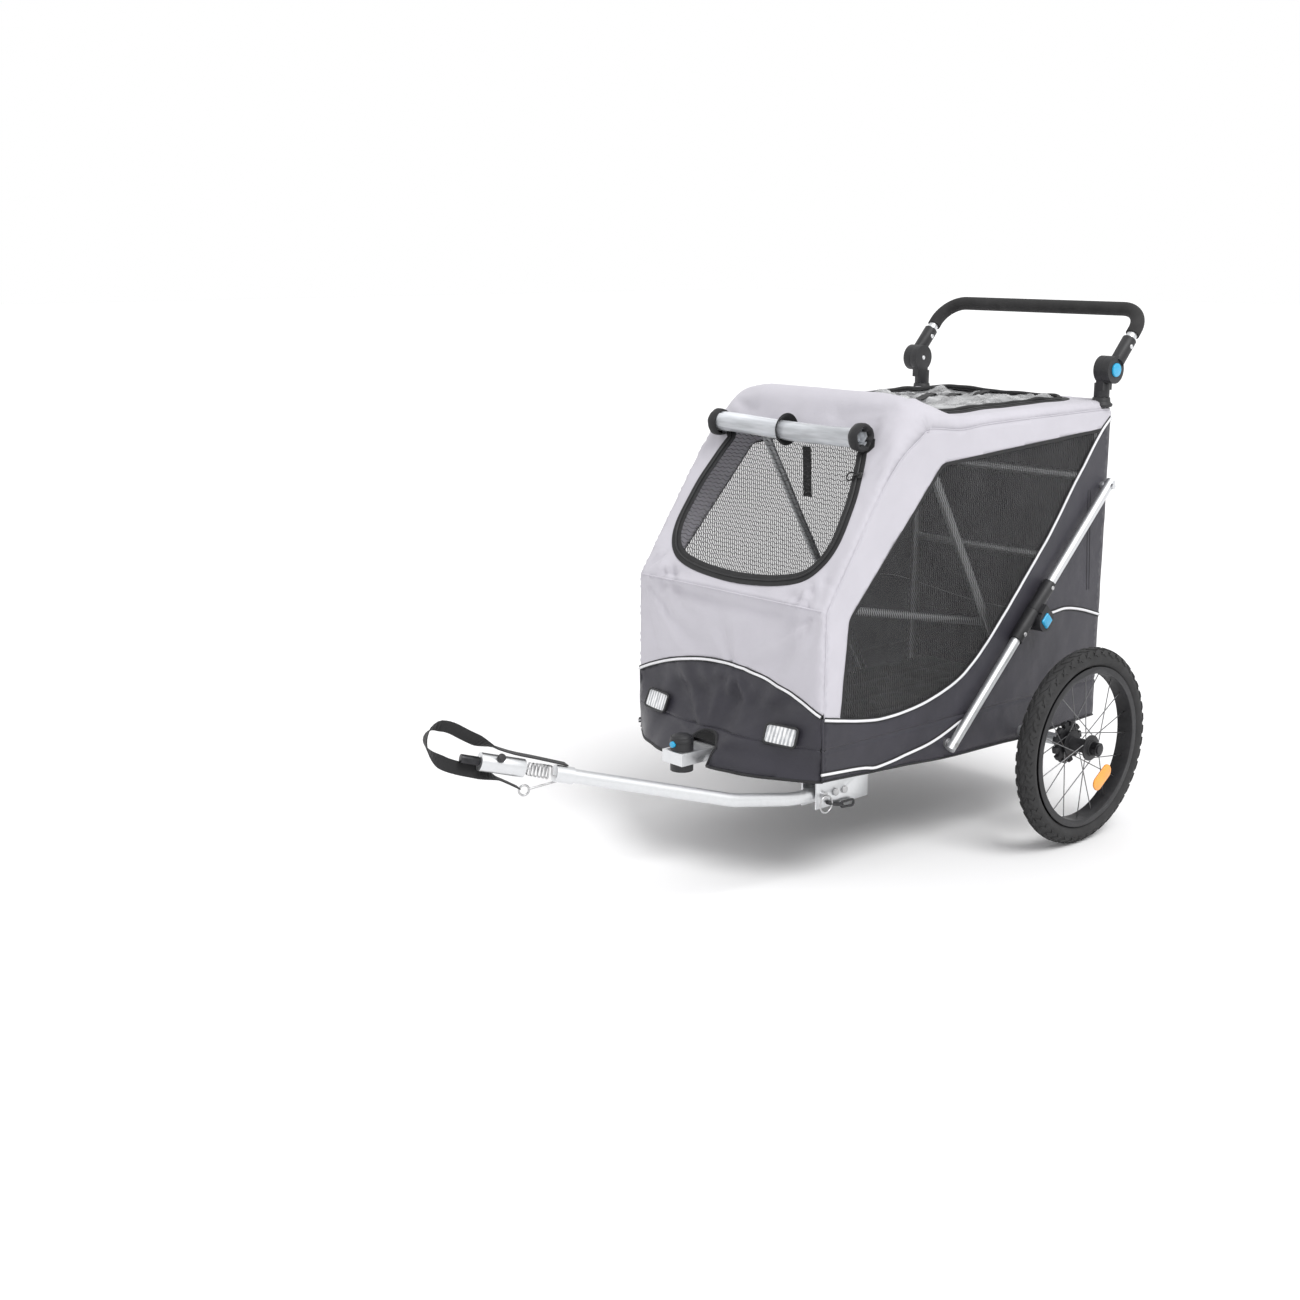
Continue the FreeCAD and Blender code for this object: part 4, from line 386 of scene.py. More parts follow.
def grid(rows, columns, ring_rows=False, ring_columns=False, flip=False):
    """Faces over rows of points; either way may close to a ring."""
    faces = []
    for i in range(rows if ring_rows else rows - 1):
        j = (i + 1) % rows
        for k in range(columns if ring_columns else columns - 1):
            m = (k + 1) % columns
            a, b, c, d = i * columns + k, j * columns + k, j * columns + m, i * columns + m
            faces.append((a, d, c, b) if flip else (a, b, c, d))
    return faces


def swept(count, sides, closed, flip):
    """Faces of a bar of one section, with end caps unless it closes to a ring."""
    faces = grid(count, sides, closed, True, flip)
    if not closed:
        first = tuple(range(sides))
        last = tuple(range((count - 1) * sides, count * sides))
        faces += [first[::-1], last] if flip else [first, last[::-1]]
    return faces


def rounded(points, radii, closed=True, steps=8):
    """A flat outline with its corners rounded."""
    count = len(points)
    result = []
    for i, point in enumerate(points):
        here = Vector(point)
        if not radii[i] or (not closed and i in (0, count - 1)):
            result.append(here)
            continue
        back = (Vector(points[i - 1]) - here).normalized()
        ahead = (Vector(points[(i + 1) % count]) - here).normalized()
        half = back.angle(ahead) / 2
        reach = radii[i] / tan(half)
        middle = here + (back + ahead).normalized() * (radii[i] / sin(half))
        start = here + back * reach - middle
        end = here + ahead * reach - middle
        turn = start.angle_signed(end)
        for k in range(steps + 1):
            a = -turn * k / steps
            x = start.x * cos(a) - start.y * sin(a)
            y = start.x * sin(a) + start.y * cos(a)
            result.append(middle + Vector((x, y)))
    return result


def rectangle(width, height, radius):
    """A rounded rectangle round the origin, in millimetres."""
    x, y = width / 2, height / 2
    return rounded([(-x, -y), (x, -y), (x, y), (-x, y)], [radius] * 4)


def spaced(points, step, closed=False):
    """Points at even steps along a line of points, in any dimension."""
    line = [Vector(p) for p in points]
    if closed:
        line.append(line[0].copy())
    lengths = [0.0]
    for a, b in zip(line, line[1:]):
        lengths.append(lengths[-1] + (b - a).length)
    count = max(2, round(lengths[-1] / step))
    result = []
    k = 0
    for i in range(count if closed else count + 1):
        goal = lengths[-1] * i / count
        while k < len(lengths) - 2 and lengths[k + 1] < goal:
            k += 1
        run = lengths[k + 1] - lengths[k]
        result.append(line[k].lerp(line[k + 1], (goal - lengths[k]) / run if run else 0))
    return result


def flowing(points, closed=False, steps=8):
    """A smooth line through points."""
    pts = [Vector(p) for p in points]
    count = len(pts)
    result = []
    for i in range(count if closed else count - 1):
        p0 = pts[i - 1] if closed or i > 0 else pts[0] * 2 - pts[1]
        p1 = pts[i]
        p2 = pts[(i + 1) % count]
        p3 = pts[(i + 2) % count] if closed or i + 2 < count else p2 * 2 - p1
        for k in range(steps):
            t = k / steps
            result.append((
                p1 * 2 + (p2 - p0) * t + (p0 * 2 - p1 * 5 + p2 * 4 - p3) * t * t
                + (p1 * 3 - p0 - p2 * 3 + p3) * t * t * t) / 2)
    if not closed:
        result.append(pts[-1])
    return result


def circle(middle, side, up, radius, count):
    """Points round a middle, in the plane of two directions."""
    turns = [2 * pi * i / count for i in range(count)]
    return [middle + side * (radius * cos(a)) + up * (radius * sin(a)) for a in turns]


def length_of(line):
    return sum((b - a).length for a, b in zip(line, line[1:]))


def heading_at(line, i, closed=False):
    """Direction of a line of points at one of them."""
    count = len(line)
    ahead = line[(i + 1) % count] if closed or i + 1 < count else line[i]
    back = line[i - 1] if closed or i > 0 else line[i]
    return (ahead - back).normalized()


def crossings(y, rings):
    """Where a level line meets closed outlines, in order."""
    found = []
    for ring in rings:
        for a, b in zip(ring, ring[1:] + ring[:1]):
            if (a.y > y) != (b.y > y):
                found.append((b.x - a.x) * (y - a.y) / (b.y - a.y) + a.x)
    return sorted(found)


def inside(x, levels):
    return sum(1 for limit in levels if limit < x) % 2 == 1


def nearby(points):
    """Flat points, to be asked for the nearest one's distance from a place."""
    tree = kdtree.KDTree(len(points))
    for i, p in enumerate(points):
        tree.insert((p.x, p.y, 0), i)
    tree.balance()
    return tree


def panel(name, outer, embed, mat, step, holes=(), thick=CLOTH):
    """A cloth panel: a flat outline in millimetres, filled with an even net of triangles and put in place."""
    rings = [spaced(ring, step, True) for ring in (outer, *holes)]
    flat = [p for ring in rings for p in ring]
    edges = []
    start = 0
    for ring in rings:
        edges += [(start + i, start + (i + 1) % len(ring)) for i in range(len(ring))]
        start += len(ring)
    low_x, high_x = min(p.x for p in rings[0]), max(p.x for p in rings[0])
    low_y, high_y = min(p.y for p in rings[0]), max(p.y for p in rings[0])
    border = nearby(flat)
    row = 0
    y = low_y + step / 2
    while y < high_y:
        levels = crossings(y, rings)
        x = low_x + step / 2 + (step / 2 if row % 2 else 0)
        while x < high_x:
            if inside(x, levels) and border.find((x, y, 0))[2] > step * 0.55:
                flat.append(Vector((x, y)))
            x += step
        y += step * 0.866
        row += 1
    verts, _, faces, *_ = delaunay_2d_cdt(flat, edges, [], 0, 1e-6)
    kept = []
    for face in faces:
        middle = sum((verts[i] for i in face), Vector((0, 0))) / len(face)
        if inside(middle.x, crossings(middle.y, rings)):
            kept.append(face)
    piece = from_data(
        name, [embed(v.x, v.y) for v in verts], kept, mat, flat=[(v.x * MM, v.y * MM) for v in verts])
    if thick:
        solid = piece.modifiers.new("Thickness", "SOLIDIFY")
        solid.thickness = thick * MM
        solid.offset = 0
    return piece


def tube(name, line, radius, mat, sides=10, closed=False, squash=None, taper=None):
    """A round bar along a line of points, or a flattened one: squash is its broad side and height."""
    pts = [Vector(p) for p in line]
    count = len(pts)
    verts = []
    side = None
    for i, p in enumerate(pts):
        heading = heading_at(pts, i, closed)
        if side is None:
            side = heading.orthogonal().normalized() if squash is None else Vector(squash[0])
        side = (side - heading * side.dot(heading)).normalized()
        up = heading.cross(side)
        r = radius * (taper(i / (count - 1)) if taper else 1)
        verts += circle(p, side, up * (squash[1] if squash else 1), r, sides)
    return from_data(name, verts, swept(count, sides, closed, flip=True), mat)


def thread(name, points, mat, radius):
    return tube(name, points, radius, mat, sides=6)


def band(name, line, normals, width, thick, mat, closed=False):
    """A flat strip of webbing or tape along a line, its face turned to the normals."""
    pts = [Vector(p) for p in line]
    verts = []
    uvs = []
    run = 0.0
    half, rise = width / 2, thick / 2
    edge = rise * 0.3
    section = [
        (-half, -edge), (-half + rise, -rise), (half - rise, -rise), (half, -edge),
        (half, edge), (half - rise, rise), (-half + rise, rise), (-half, edge)]
    for i, p in enumerate(pts):
        heading = heading_at(pts, i, closed)
        up = Vector(normals[i] if isinstance(normals, list) else normals)
        up = (up - heading * up.dot(heading)).normalized()
        across = heading.cross(up)
        if i:
            run += (p - pts[i - 1]).length
        for a, b in section:
            verts.append(p + across * a + up * b)
            uvs.append((run, a))
    faces = swept(len(pts), len(section), closed, flip=False)
    return from_data(name, verts, faces, mat, smooth=False, flat=uvs)


def crisp(node, mat, body="base", width=0.8, segments=2):
    """A rigid CAD piece shown with softly rounded edges, their width in millimetres."""
    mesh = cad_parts[node].data.copy()
    mesh.materials.clear()
    made = bmesh.new()
    made.from_mesh(mesh)
    bmesh.ops.remove_doubles(made, verts=made.verts, dist=1e-6)
    bmesh.ops.dissolve_limit(made, angle_limit=radians(1.0), verts=made.verts, edges=made.edges)
    made.to_mesh(mesh)
    made.free()
    piece = finish_piece(node + "_shown", mesh, mat, body)
    soft = piece.modifiers.new("Edges", "BEVEL")
    soft.width = width * MM
    soft.segments = segments
    soft.limit_method = "ANGLE"
    soft.angle_limit = radians(38)
    soft.harden_normals = True
    soft.use_clamp_overlap = True
    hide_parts(node)


def lathe(name, centre, axis, section, mat, sides, body="base", loop=False):
    """A turned piece: (radius, height) pairs in millimetres, spun about an axis."""
    turn = Vector((0, 0, 1)).rotation_difference(Vector(axis)).to_matrix()
    verts = []
    n = len(section)
    for k in range(sides):
        a = 2 * pi * k / sides
        for r, h in section:
            verts.append(centre + turn @ Vector((r * cos(a), r * sin(a), h)) * MM)
    faces = grid(sides, n, True, loop)
    if not loop:
        if section[0][0] > 0:
            faces.append(tuple(k * n for k in range(sides))[::-1])
        if section[-1][0] > 0:
            faces.append(tuple(k * n + n - 1 for k in range(sides)))
    piece = from_data(name, verts, faces, mat, body)
    outward(piece, 1e-7)
    return piece


def rivet(name, place, out, mat, body, radius=5.0):
    """A domed head on a short shank."""
    height, shank = 1.8, 3
    crown = [(radius * cos(a), height * sin(a)) for a in (0.35, 0.7, 1.0, 1.3)]
    lathe(name, place, (out, 0, 0), [(radius, -shank), (radius, 0)] + crown + [(0, height)], mat, 20, body)


def joined(name, pieces, mat):
    """Several meshes made into one piece."""
    made = bmesh.new()
    for piece in pieces:
        made.from_mesh(piece.data)
        scene.collection.objects.unlink(piece)
        bpy.data.objects.remove(piece)
    mesh = bpy.data.meshes.new(name)
    made.to_mesh(mesh)
    made.free()
    return finish_piece(name, mesh, mat)


# Finishing the pieces: own mesh data, cut sizes and hidden CAD nodes

def folds(*pieces):
    """Cloth that collapses on the tub when the frame folds: each piece only gets its own copy of its mesh
    data.
    """
    for piece in pieces:
        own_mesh(piece)


def flat_area(outline):
    total = sum(a[0] * b[1] - b[0] * a[1] for a, b in zip(outline, outline[1:] + outline[:1]))
    return abs(total) / 2 * MM * MM


def taut(piece, *rings):
    """Work out a stretched sheet's flat size from its cut, the first ring being its outline and the rest its
    openings; nothing is kept of it.
    """
    wide = [max(p[i] for p in rings[0]) - min(p[i] for p in rings[0]) for i in (0, 1)]
    area = flat_area(rings[0]) - sum(flat_area(r) for r in rings[1:])
    flat = (wide[0] * MM, wide[1] * MM)
    if area < 0.35 * flat[0] * flat[1]:
        flat = (max(flat), 2 * area / max(flat))


def dress(piece, slot, node=None, cut=(), falls=True):
    """Hide the CAD node a piece shows, work out its cut's flat size and give it its own mesh data when it
    folds with the frame; the paint slot is not used.
    """
    if node:
        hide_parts(node)
    if falls:
        folds(piece)
    if cut:
        taut(piece, *cut)


# The cover's shape, in millimetres

SIDES = ((1, "left"), (-1, "right"))
HALF = 254.0
SKIRT = 268.0
REAR = 251
BEND = -350
NOSE = -600
CREASE = 529
NOSE_HEM = 207
NOSE_HALF = 252
FRONT_HEM = 209
REAR_HEM = 190
ROOF = spaced(rounded(
    [(252, 862), (-232, 855), (BEND, 903), (NOSE, CREASE), (NOSE, 200)], [0, 150, 58, 7, 0], closed=False,
    steps=14), 4.0)
ROOF_RUN = [0.0]
for first, second in zip(ROOF, ROOF[1:]):
    ROOF_RUN.append(ROOF_RUN[-1] + (second - first).length)


def profile(s):
    """Place and outward direction at a distance along the side view's upper line, from the rear."""
    i = max(0, min(len(ROOF) - 2, int(s / ROOF_RUN[-1] * (len(ROOF) - 1))))
    while i > 0 and ROOF_RUN[i] > s:
        i -= 1
    while i < len(ROOF) - 2 and ROOF_RUN[i + 1] < s:
        i += 1
    t = (s - ROOF_RUN[i]) / (ROOF_RUN[i + 1] - ROOF_RUN[i])
    heading = (ROOF[min(len(ROOF) - 1, i + 2)] - ROOF[max(0, i - 1)]).normalized()
    return ROOF[i].lerp(ROOF[i + 1], t), Vector((heading.y, -heading.x))


def run_at_height(z):
    """Distance along the upper line where it comes down to a height on the slope or nose."""
    for i in range(len(ROOF) - 1, 0, -1):
        if ROOF[i].y <= z <= ROOF[i - 1].y:
            t = (z - ROOF[i].y) / (ROOF[i - 1].y - ROOF[i].y)
            return ROOF_RUN[i] + (ROOF_RUN[i - 1] - ROOF_RUN[i]) * t
    return 0.0


BEND_RUN = next(run for run, p in zip(ROOF_RUN, ROOF) if p.x < BEND)
CREASE_RUN = run_at_height(CREASE)
ROLL_RUN = CREASE_RUN - 340
ROLL_ENDS = (-0.203, 0.180)
HATCH_HALF, HATCH_START, HATCH_END = 184, 38, 474


def edge_round(s):
    """Radius of the rounding between the upper sheet and the sides."""
    least, fade = (17, 105) if s < BEND_RUN else (7, 90)
    return least + (54 - least) * exp(-((s - BEND_RUN) / fade) ** 2)


def door_outline():
    half = [
        (0, 31), (95, 38), (158, 54), (191, 82), (207, 130), (203, 205), (191, 263), (176, 318), (160, 346)]
    pts = [Vector((x, CREASE_RUN - t)) for x, t in half]
    return flowing(pts + [Vector((-p.x, p.y)) for p in reversed(pts[1:])], closed=True, steps=5)


def hatch_outline():
    x, low, high = HATCH_HALF, HATCH_START, HATCH_END
    return rounded([(-x, low), (x, low), (x, high), (-x, high)], [46] * 4, steps=7)


DOOR_EDGE = nearby(spaced(door_outline(), 10, True))


def wrinkle(x, y, z, scale, seed):
    return noise.noise(Vector((x / scale + seed, y / scale, z / scale)))


def hem_reach(x):
    """Lengthwise place of the nose's hem across the trailer, an arc."""
    front, depth = -686, 94
    radius = (NOSE_HALF ** 2 + depth ** 2) / (2 * depth)
    return front + radius - sqrt(radius ** 2 - min(abs(x), NOSE_HALF) ** 2)


# Where folds fan out: across, along, reach, number of lines and size
PULLS = (
    (196, CREASE_RUN - 60, 110, 16, 7.0), (-196, CREASE_RUN - 60, 110, 16, 6.0),
    (205, CREASE_RUN - 250, 130, 18, 7.0), (-205, CREASE_RUN - 250, 130, 18, 6.0),
    (232, BEND_RUN + 20, 120, 15, 5.0), (-232, BEND_RUN + 20, 120, 15, 5.0),
    (246, CREASE_RUN + 6, 230, 15, 9.0), (-246, CREASE_RUN + 6, 230, 15, 9.0),
    (30, CREASE_RUN + 150, 150, 9, 5.0))


def pull_folds(x, s):
    """Soft folds that fan out round the door, from the front corners and over the nose."""
    total = 0.0
    clear = min(1.0, max(0.0, DOOR_EDGE.find((x, s, 0))[2] - 12) / 30)
    for px, ps, reach, lines, size in PULLS:
        dx, ds = x - px, s - ps
        far = hypot(dx, ds)
        fan = atan2(ds, dx)
        wave = noise.noise(Vector((fan * lines / 4, px, 1.7)))
        total += size * exp(-(far / reach) ** 2) * min(1, far / 30) * wave
    return total * clear


def on_cover(x, s):
    """The upper sheet: roof, slope and nose, its long edges rounded down to the sides."""
    p, n = profile(s)
    radius = edge_round(s)
    over = abs(x) - (HALF - radius)
    drop = radius - sqrt(max(0, radius ** 2 - over ** 2)) if over > 0 else 0
    inner = max(0, 1 - (abs(x) / (HALF - 6)) ** 6)
    lift = 2.2 * wrinkle(x * 0.5, s, 0, 70, 3) + 1.4 * wrinkle(x, s * 0.5, 0, 38, 9) + 2.0 * pull_folds(x, s)
    if s > CREASE_RUN:
        low = min(1, (s - CREASE_RUN) / 230)
        lift += 4 * sin(pi * low) + 5 * low * wrinkle(x, s * 0.22, 0, 46, 27)
        lift -= 7 * exp(-((s - CREASE_RUN - 20) / 16) ** 2)
    lift = (lift + 2.5 * exp(-((s - CREASE_RUN) / 6) ** 2)) * inner
    over_bow = exp(-((s - BEND_RUN + 5) / 30) ** 2) * max(0, min(1, (218 - abs(x)) / 68))
    lift = lift * (1 - 0.9 * over_bow) + 13 * over_bow
    y = p.x + n.x * (lift - drop)
    z = p.y + n.y * (lift - drop)
    flare_top = 325
    if z < flare_top:
        y += (hem_reach(x) - NOSE) * (1 - max(0, (z - NOSE_HEM) / (flare_top - NOSE_HEM)))
    return at(x, y, z)


def cover_normal(s):
    n = profile(s)[1]
    return Vector((0, n.x, n.y))


def above_cover(x, s, height):
    """A place over the upper sheet, its height in metres."""
    return on_cover(x, s) + cover_normal(s) * height


def on_side(sign, bulge=0.0):
    """A side panel's flat outline, put in the side's plane with a faint ripple."""
    def embed(y, z):
        lift = 1.5 * wrinkle(y, z * 0.6, sign, 85, 5) + 0.9 * wrinkle(y, z, sign, 34, 8)
        return at(sign * (HALF + lift * 0.8 + bulge), y, z)
    return embed


SEAM = flowing([
    (-602, 328), (-550, 318), (-493, 308), (-436, 302), (-365, 305), (-292, 317), (-209, 344), (-143, 391),
    (-84, 447), (-9, 526), (66, 609), (127, 686), (189, 763), (220, 799), (253, 828)])
LOWER_PIPING = flowing([
    (-598, 223), (-489, 215), (-446, 209), (-375, 216), (-287, 228), (-212, 251), (-172, 268), (-98, 336),
    (-24, 406), (46, 431), (92, 437), (133, 439), (187, 429), (251, 410)])
WINDOW_FRONT, WINDOW_REAR = -548, 232
WINDOW = rounded(
    [(WINDOW_FRONT, 318), (-531, 506), (-284, 770), (WINDOW_REAR, 803)], [0, 26, 26, 0], closed=False)
HEM = [(-471, 202), (-374, 197), (-238, 188), (-64, 185), (2, 183), (120, 185)]


def seam_height(y):
    for a, b in zip(SEAM, SEAM[1:]):
        if a.x <= y <= b.x:
            return a.y + (b.y - a.y) * (y - a.x) / (b.x - a.x)
    return SEAM[-1].y


def seam_between(low, high):
    count = max(2, round((high - low) / 8))
    places = [low + (high - low) * i / count for i in range(count + 1)]
    return [Vector((y, seam_height(y))) for y in places]


def nose_line(x):
    """Height of the piping across the nose."""
    return 327 + 64 * max(0, cos(pi * x / 2 / 262)) ** 0.85


# Seams and zips, sizes in metres

TAPE_LIFT = 0.0012
SEAM_LIFT = 0.0006


def seam_tape(label, line, out, width=0.0105):
    return band(label + "_tape", line, out, width, 0.0014, "zip")


def piped(label, line, out):
    """A taped seam with reflective piping."""
    tape = seam_tape(label, line, out)
    return tape, tube(label + "_piping", [p + out * 0.0008 for p in line], 0.0027, "piping", 8)


def zipped(label, line, normals, width=0.017, closed=False):
    """A zip's tape with its coil, on cloth that folds with the frame."""
    tape = band(label + "_tape", line, normals, width, 0.0018, "zip", closed)
    coil = tube(label + "_coil", [p + n * 0.0014 for p, n in zip(line, normals)], 0.0021, "coil", 8, closed)
    folds(tape, coil)
    return tape


def zip_along(label, ring, width):
    """A zip round an opening of the upper sheet."""
    places = spaced(ring, 7, True)
    line = [above_cover(p.x, p.y, 0.0014) for p in places]
    tape = zipped(label, line, [cover_normal(p.y) for p in places], width, True)


# The upper sheet with its door, hatch and rolled rain cover

def build_upper():
    wide, narrow, notch = 254, 224, 33
    bottom = [Vector((x, run_at_height(nose_line(x)))) for x in range(-wide, wide + 1, 12)]
    outer = [Vector(p) for p in ((narrow, 0), (narrow, notch), (wide, notch), (wide, bottom[-1].y))]
    outer += bottom[::-1][1:] + [Vector(p) for p in ((-wide, notch), (-narrow, notch), (-narrow, 0))]
    door_ring, hatch_ring = door_outline(), hatch_outline()
    main = panel("cover_upper", outer, on_cover, "cover", 8, holes=[door_ring, hatch_ring], thick=1.4)
    dress(main, "cover_cloth", "main_cover", [outer, door_ring, hatch_ring])
    door = panel("front_door_net", door_ring, lambda x, s: above_cover(x, s, -0.004), "net", 16, thick=0)
    dress(door, "black_mesh", "front_mesh_door", [door_ring])
    zip_along("door_zip", door_ring, 0.023)
    zip_along("hatch_zip", hatch_ring, 0.026)
    build_lip(hatch_ring)
    crease = [above_cover(x, CREASE_RUN, 0.0008) for x in range(-246, 247, 6)]
    folds(thread("nose_crease", crease, "cover", 0.0017))
    build_hatch(hatch_ring)
    build_roll()
    build_pull()


def build_lip(ring):
    """The soft bead inside the hatch's zip."""
    middle, share = (HATCH_START + HATCH_END) / 2, 0.965
    inner = [Vector((p.x * share, middle + (p.y - middle) * share)) for p in ring]
    line = []
    for p in spaced(inner, 7, True):
        rise = 0.0045 + 0.0035 * wrinkle(p.x, p.y, 0, 60, 8)
        line.append(on_cover(p.x, p.y) + Vector((0, 0, rise)))
    dress(tube("hatch_lip", line, 0.0048, "zip", 8, True, squash=((0, 0, 1), 0.7)), "black_cloth")


def build_hatch(ring):
    """The crumpled clear film, the net under it and the strap over it."""
    up = Vector((0, 0, 1))

    def film_place(x, s):
        edge = max(0, min(1, min(HATCH_HALF - abs(x), s - HATCH_START, HATCH_END - s) / 34))
        lift = 16 * wrinkle(x, s, 0, 58, 21) + 10 * abs(wrinkle(x * 1.3, s, 0, 26, 33))
        lift += 3 * wrinkle(x, s, 0, 12, 4)
        return on_cover(x, s) + up * ((lift * edge - 2) * MM)
    clear = panel("roof_hatch_film", ring, film_place, "film", 8, thick=0)
    dress(clear, "clear_film", "roof_window", [ring])
    under = panel("roof_hatch_net", ring, lambda x, s: on_cover(x, s) - up * 0.014, "net", 20, thick=0)
    dress(under, "black_mesh", cut=[ring])
    line = [film_place(-20 + 4 * sin(s / 40), s) + up * 0.003 for s in range(40, 473, 9)]
    dress(band("roof_hatch_strap", line, up, 0.022, 0.0018, "webbing"), "black_cloth")


def gathered_end(name, middle, out, side, up):
    """A cloth binding round a roll's end, gathered to a star-shaped opening."""
    steps = 60
    verts = []
    section = [
        (0.0222, -0.013), (0.0252, -0.012), (0.0268, -0.004), (0.0270, 0.003), (0.0258, 0.007),
        (0.0232, 0.0085)]
    mouth = [(0.0195, 0.0012, 0.0066), (0.0168, 0.0030, 0.002), (0.0165, 0.0030, -0.006)]
    for k in range(steps):
        a = 2 * pi * k / steps
        pleat = cos(5 * a) + 0.4 * sin(11 * a + 1)
        ring = [(r + 0.0005 * pleat, h) for r, h in section] + [(r + deep * pleat, h) for r, deep, h in mouth]
        for r, h in ring:
            verts.append(middle + out * h + side * (r * cos(a)) + up * (r * sin(a)))
    return from_data(name, verts, grid(steps, len(section) + len(mouth), True), "lining")


def build_roll():
    """The rain cover, rolled up over the door: a spiral of film, bound ends and a strap round its middle."""
    normal = cover_normal(ROLL_RUN)
    along = Vector((1, 0, 0))
    side = along.cross(normal)
    base = on_cover(0, ROLL_RUN)
    base = Vector((0, base.y, base.z)) + normal * 0.0240
    low, high = ROLL_ENDS

    def spiral(x, turn):
        a = 2 * pi * turn
        r = 0.0060 + 0.0036 * turn + 0.0016 * sin(5 * a / 2 + x * 9) * (0.3 + abs(x) * 4)
        slump = 0.0025 * sin(x * 14 + 1)
        return base + along * x + side * (r * cos(a) + slump) + normal * (r * sin(a))
    turns = [4.3 * i / 130 for i in range(131)]
    places = [low + (high - low) * i / 60 for i in range(61)]
    verts = [spiral(x, t) for x in places for t in turns]
    roll = from_data("rain_cover_rolled", verts, grid(len(places), len(turns), flip=True), "roll_film")
    dress(roll, "clear_film", "rain_cover_roll")
    length = length_of([spiral(0, t) for t in turns])
    for (sign, label), place in zip(SIDES, (high, low)):
        end = gathered_end("roll_binding_" + label, base + along * place, along * sign, side, normal)
        dress(end, "black_cloth")
    ring = circle(base + along * -0.022, side, normal, 0.0230, 40)
    outs = [(p - base).normalized() for p in ring]
    dress(band("roll_strap", ring, outs, 0.024, 0.0022, "webbing", closed=True), "black_cloth")
    top = on_cover(10, ROLL_RUN + 16) - normal * 0.012
    tail = [top + Vector((0, 0.010 + 0.00006 * d, -d * MM)) for d in range(0, 100, 7)]
    dress(band("roll_strap_tail", tail, Vector((0, -1, 0)), 0.022, 0.0018, "webbing"), "black_cloth")


def build_pull():
    """The door zip's slider, with a wire pull and its ring."""
    x, s = 198, CREASE_RUN - 274
    normal = cover_normal(s)
    root = above_cover(x, s, 0.0055)
    down = (on_cover(x, s + 20) - on_cover(x, s)).normalized()
    across = normal.cross(down)
    slider = tube(
        "zip_slider", [root + down * d for d in (-0.007, -0.002, 0.004, 0.008)], 0.0042, "coil",
        squash=(across, 0.55), taper=lambda t: 0.75 + 0.5 * sin(pi * t))
    bends = ((0, 0.003, 0), (-0.006, 0.004, 0.003), (-0.014, 0.001, 0.005))
    line = [root + across * a + normal * n + down * d for a, n, d in bends]
    wire = tube("zip_pull", line, 0.0016, "coil", 8)
    hub = root + across * -0.022 + down * 0.006
    folds(slider, wire, tube("zip_ring", circle(hub, across, down, 0.0085, 28), 0.0015, "coil", 8, True))


# Sides, nose and rear

def side_edge():
    """The side panels' upper edge under the rounding, from the rear to the nose."""
    edge = []
    s = 0.0
    while s <= run_at_height(330):
        p, n = profile(s)
        edge.append(p - n * edge_round(s))
        s += 7
    return [p for p in edge if p.x < REAR]


def build_sides():
    edge = side_edge()
    front = edge[-1].x
    hem = flowing([(front, FRONT_HEM)] + HEM + [(REAR, REAR_HEM)], steps=6)
    light = seam_between(front, WINDOW_FRONT) + WINDOW[1:] + seam_between(WINDOW_REAR, REAR)[1:]
    light += [Vector((REAR, 838))] + edge
    window = list(WINDOW) + seam_between(WINDOW_FRONT, WINDOW_REAR)[::-1][1:-1]
    dark = [Vector((front, SKIRT))] + seam_between(front, REAR) + [Vector((REAR, SKIRT))]
    skirt = [Vector((REAR, SKIRT)), Vector((front, SKIRT))] + hem
    cloths = (
        ("side_light", light, "cover", "cover_cloth", "side_covers", 9),
        ("side_net", window, "side_net", "black_mesh", "mesh_windows", 16),
        ("side_dark", dark, "slate", "slate_cloth", "lower_side_panels", 10),
        ("skirt", skirt, "slate", "slate_cloth", "tub_skirts", 10))
    for sign, label in SIDES:
        for part, ring, mat, slot, node, step in cloths:
            sunk, thick = (-1.5, 0) if part == "side_net" else (0.0, CLOTH)
            piece = panel("%s_%s" % (label, part), ring, on_side(sign, sunk), mat, step, thick=thick)
            dress(piece, slot, node if sign > 0 else None, [ring], falls=part != "skirt")
        trim_side(sign, label, edge, hem)


def trim_side(sign, label, edge, hem):
    """Piping, tapes, stitched seams and hem of one side."""
    place = on_side(sign)
    out = Vector((sign, 0, 0))
    front = edge[-1].x

    def raised(line, height):
        return [place(p[0], p[1]) + out * height for p in line]
    folds(*piped(label + "_upper", raised(seam_between(front, REAR), TAPE_LIFT), out))
    folds(seam_tape(label + "_window", raised(WINDOW, TAPE_LIFT), out, 0.007))
    piped(label + "_low_front", raised([p for p in LOWER_PIPING if p.y <= SKIRT and p.x < 0], TAPE_LIFT), out)
    folds(*piped(label + "_low_rear", raised([p for p in LOWER_PIPING if p.y >= SKIRT], TAPE_LIFT), out))
    folds(thread(label + "_edge_seam", raised(edge, SEAM_LIFT), "cover", 0.0011))
    for gap in (0, 9):
        flap = [(187 + 14 * t / 24 + gap, 681 - 212 * t / 24) for t in range(25)]
        folds(thread("%s_zip_flap_%d" % (label, gap), raised(flap, SEAM_LIFT), "zip", 0.0007))
    dress(tube(label + "_hem", raised(hem, 0), 0.0022, "lining", 8), "black_cloth", falls=False)
    for part, low, high in (("foot", FRONT_HEM, SKIRT), ("upper", SKIRT, 328)):
        line = []
        for i in range(9):
            z = low + (high - low) * i / 8
            line.append(on_cover(sign * NOSE_HALF, run_at_height(z)) * 0.5 + place(front, z) * 0.5)
        corner = tube("%s_corner_seam_%s" % (label, part), line, 0.0024, "slate", 8)
        dress(corner, "slate_cloth", falls=part == "upper")


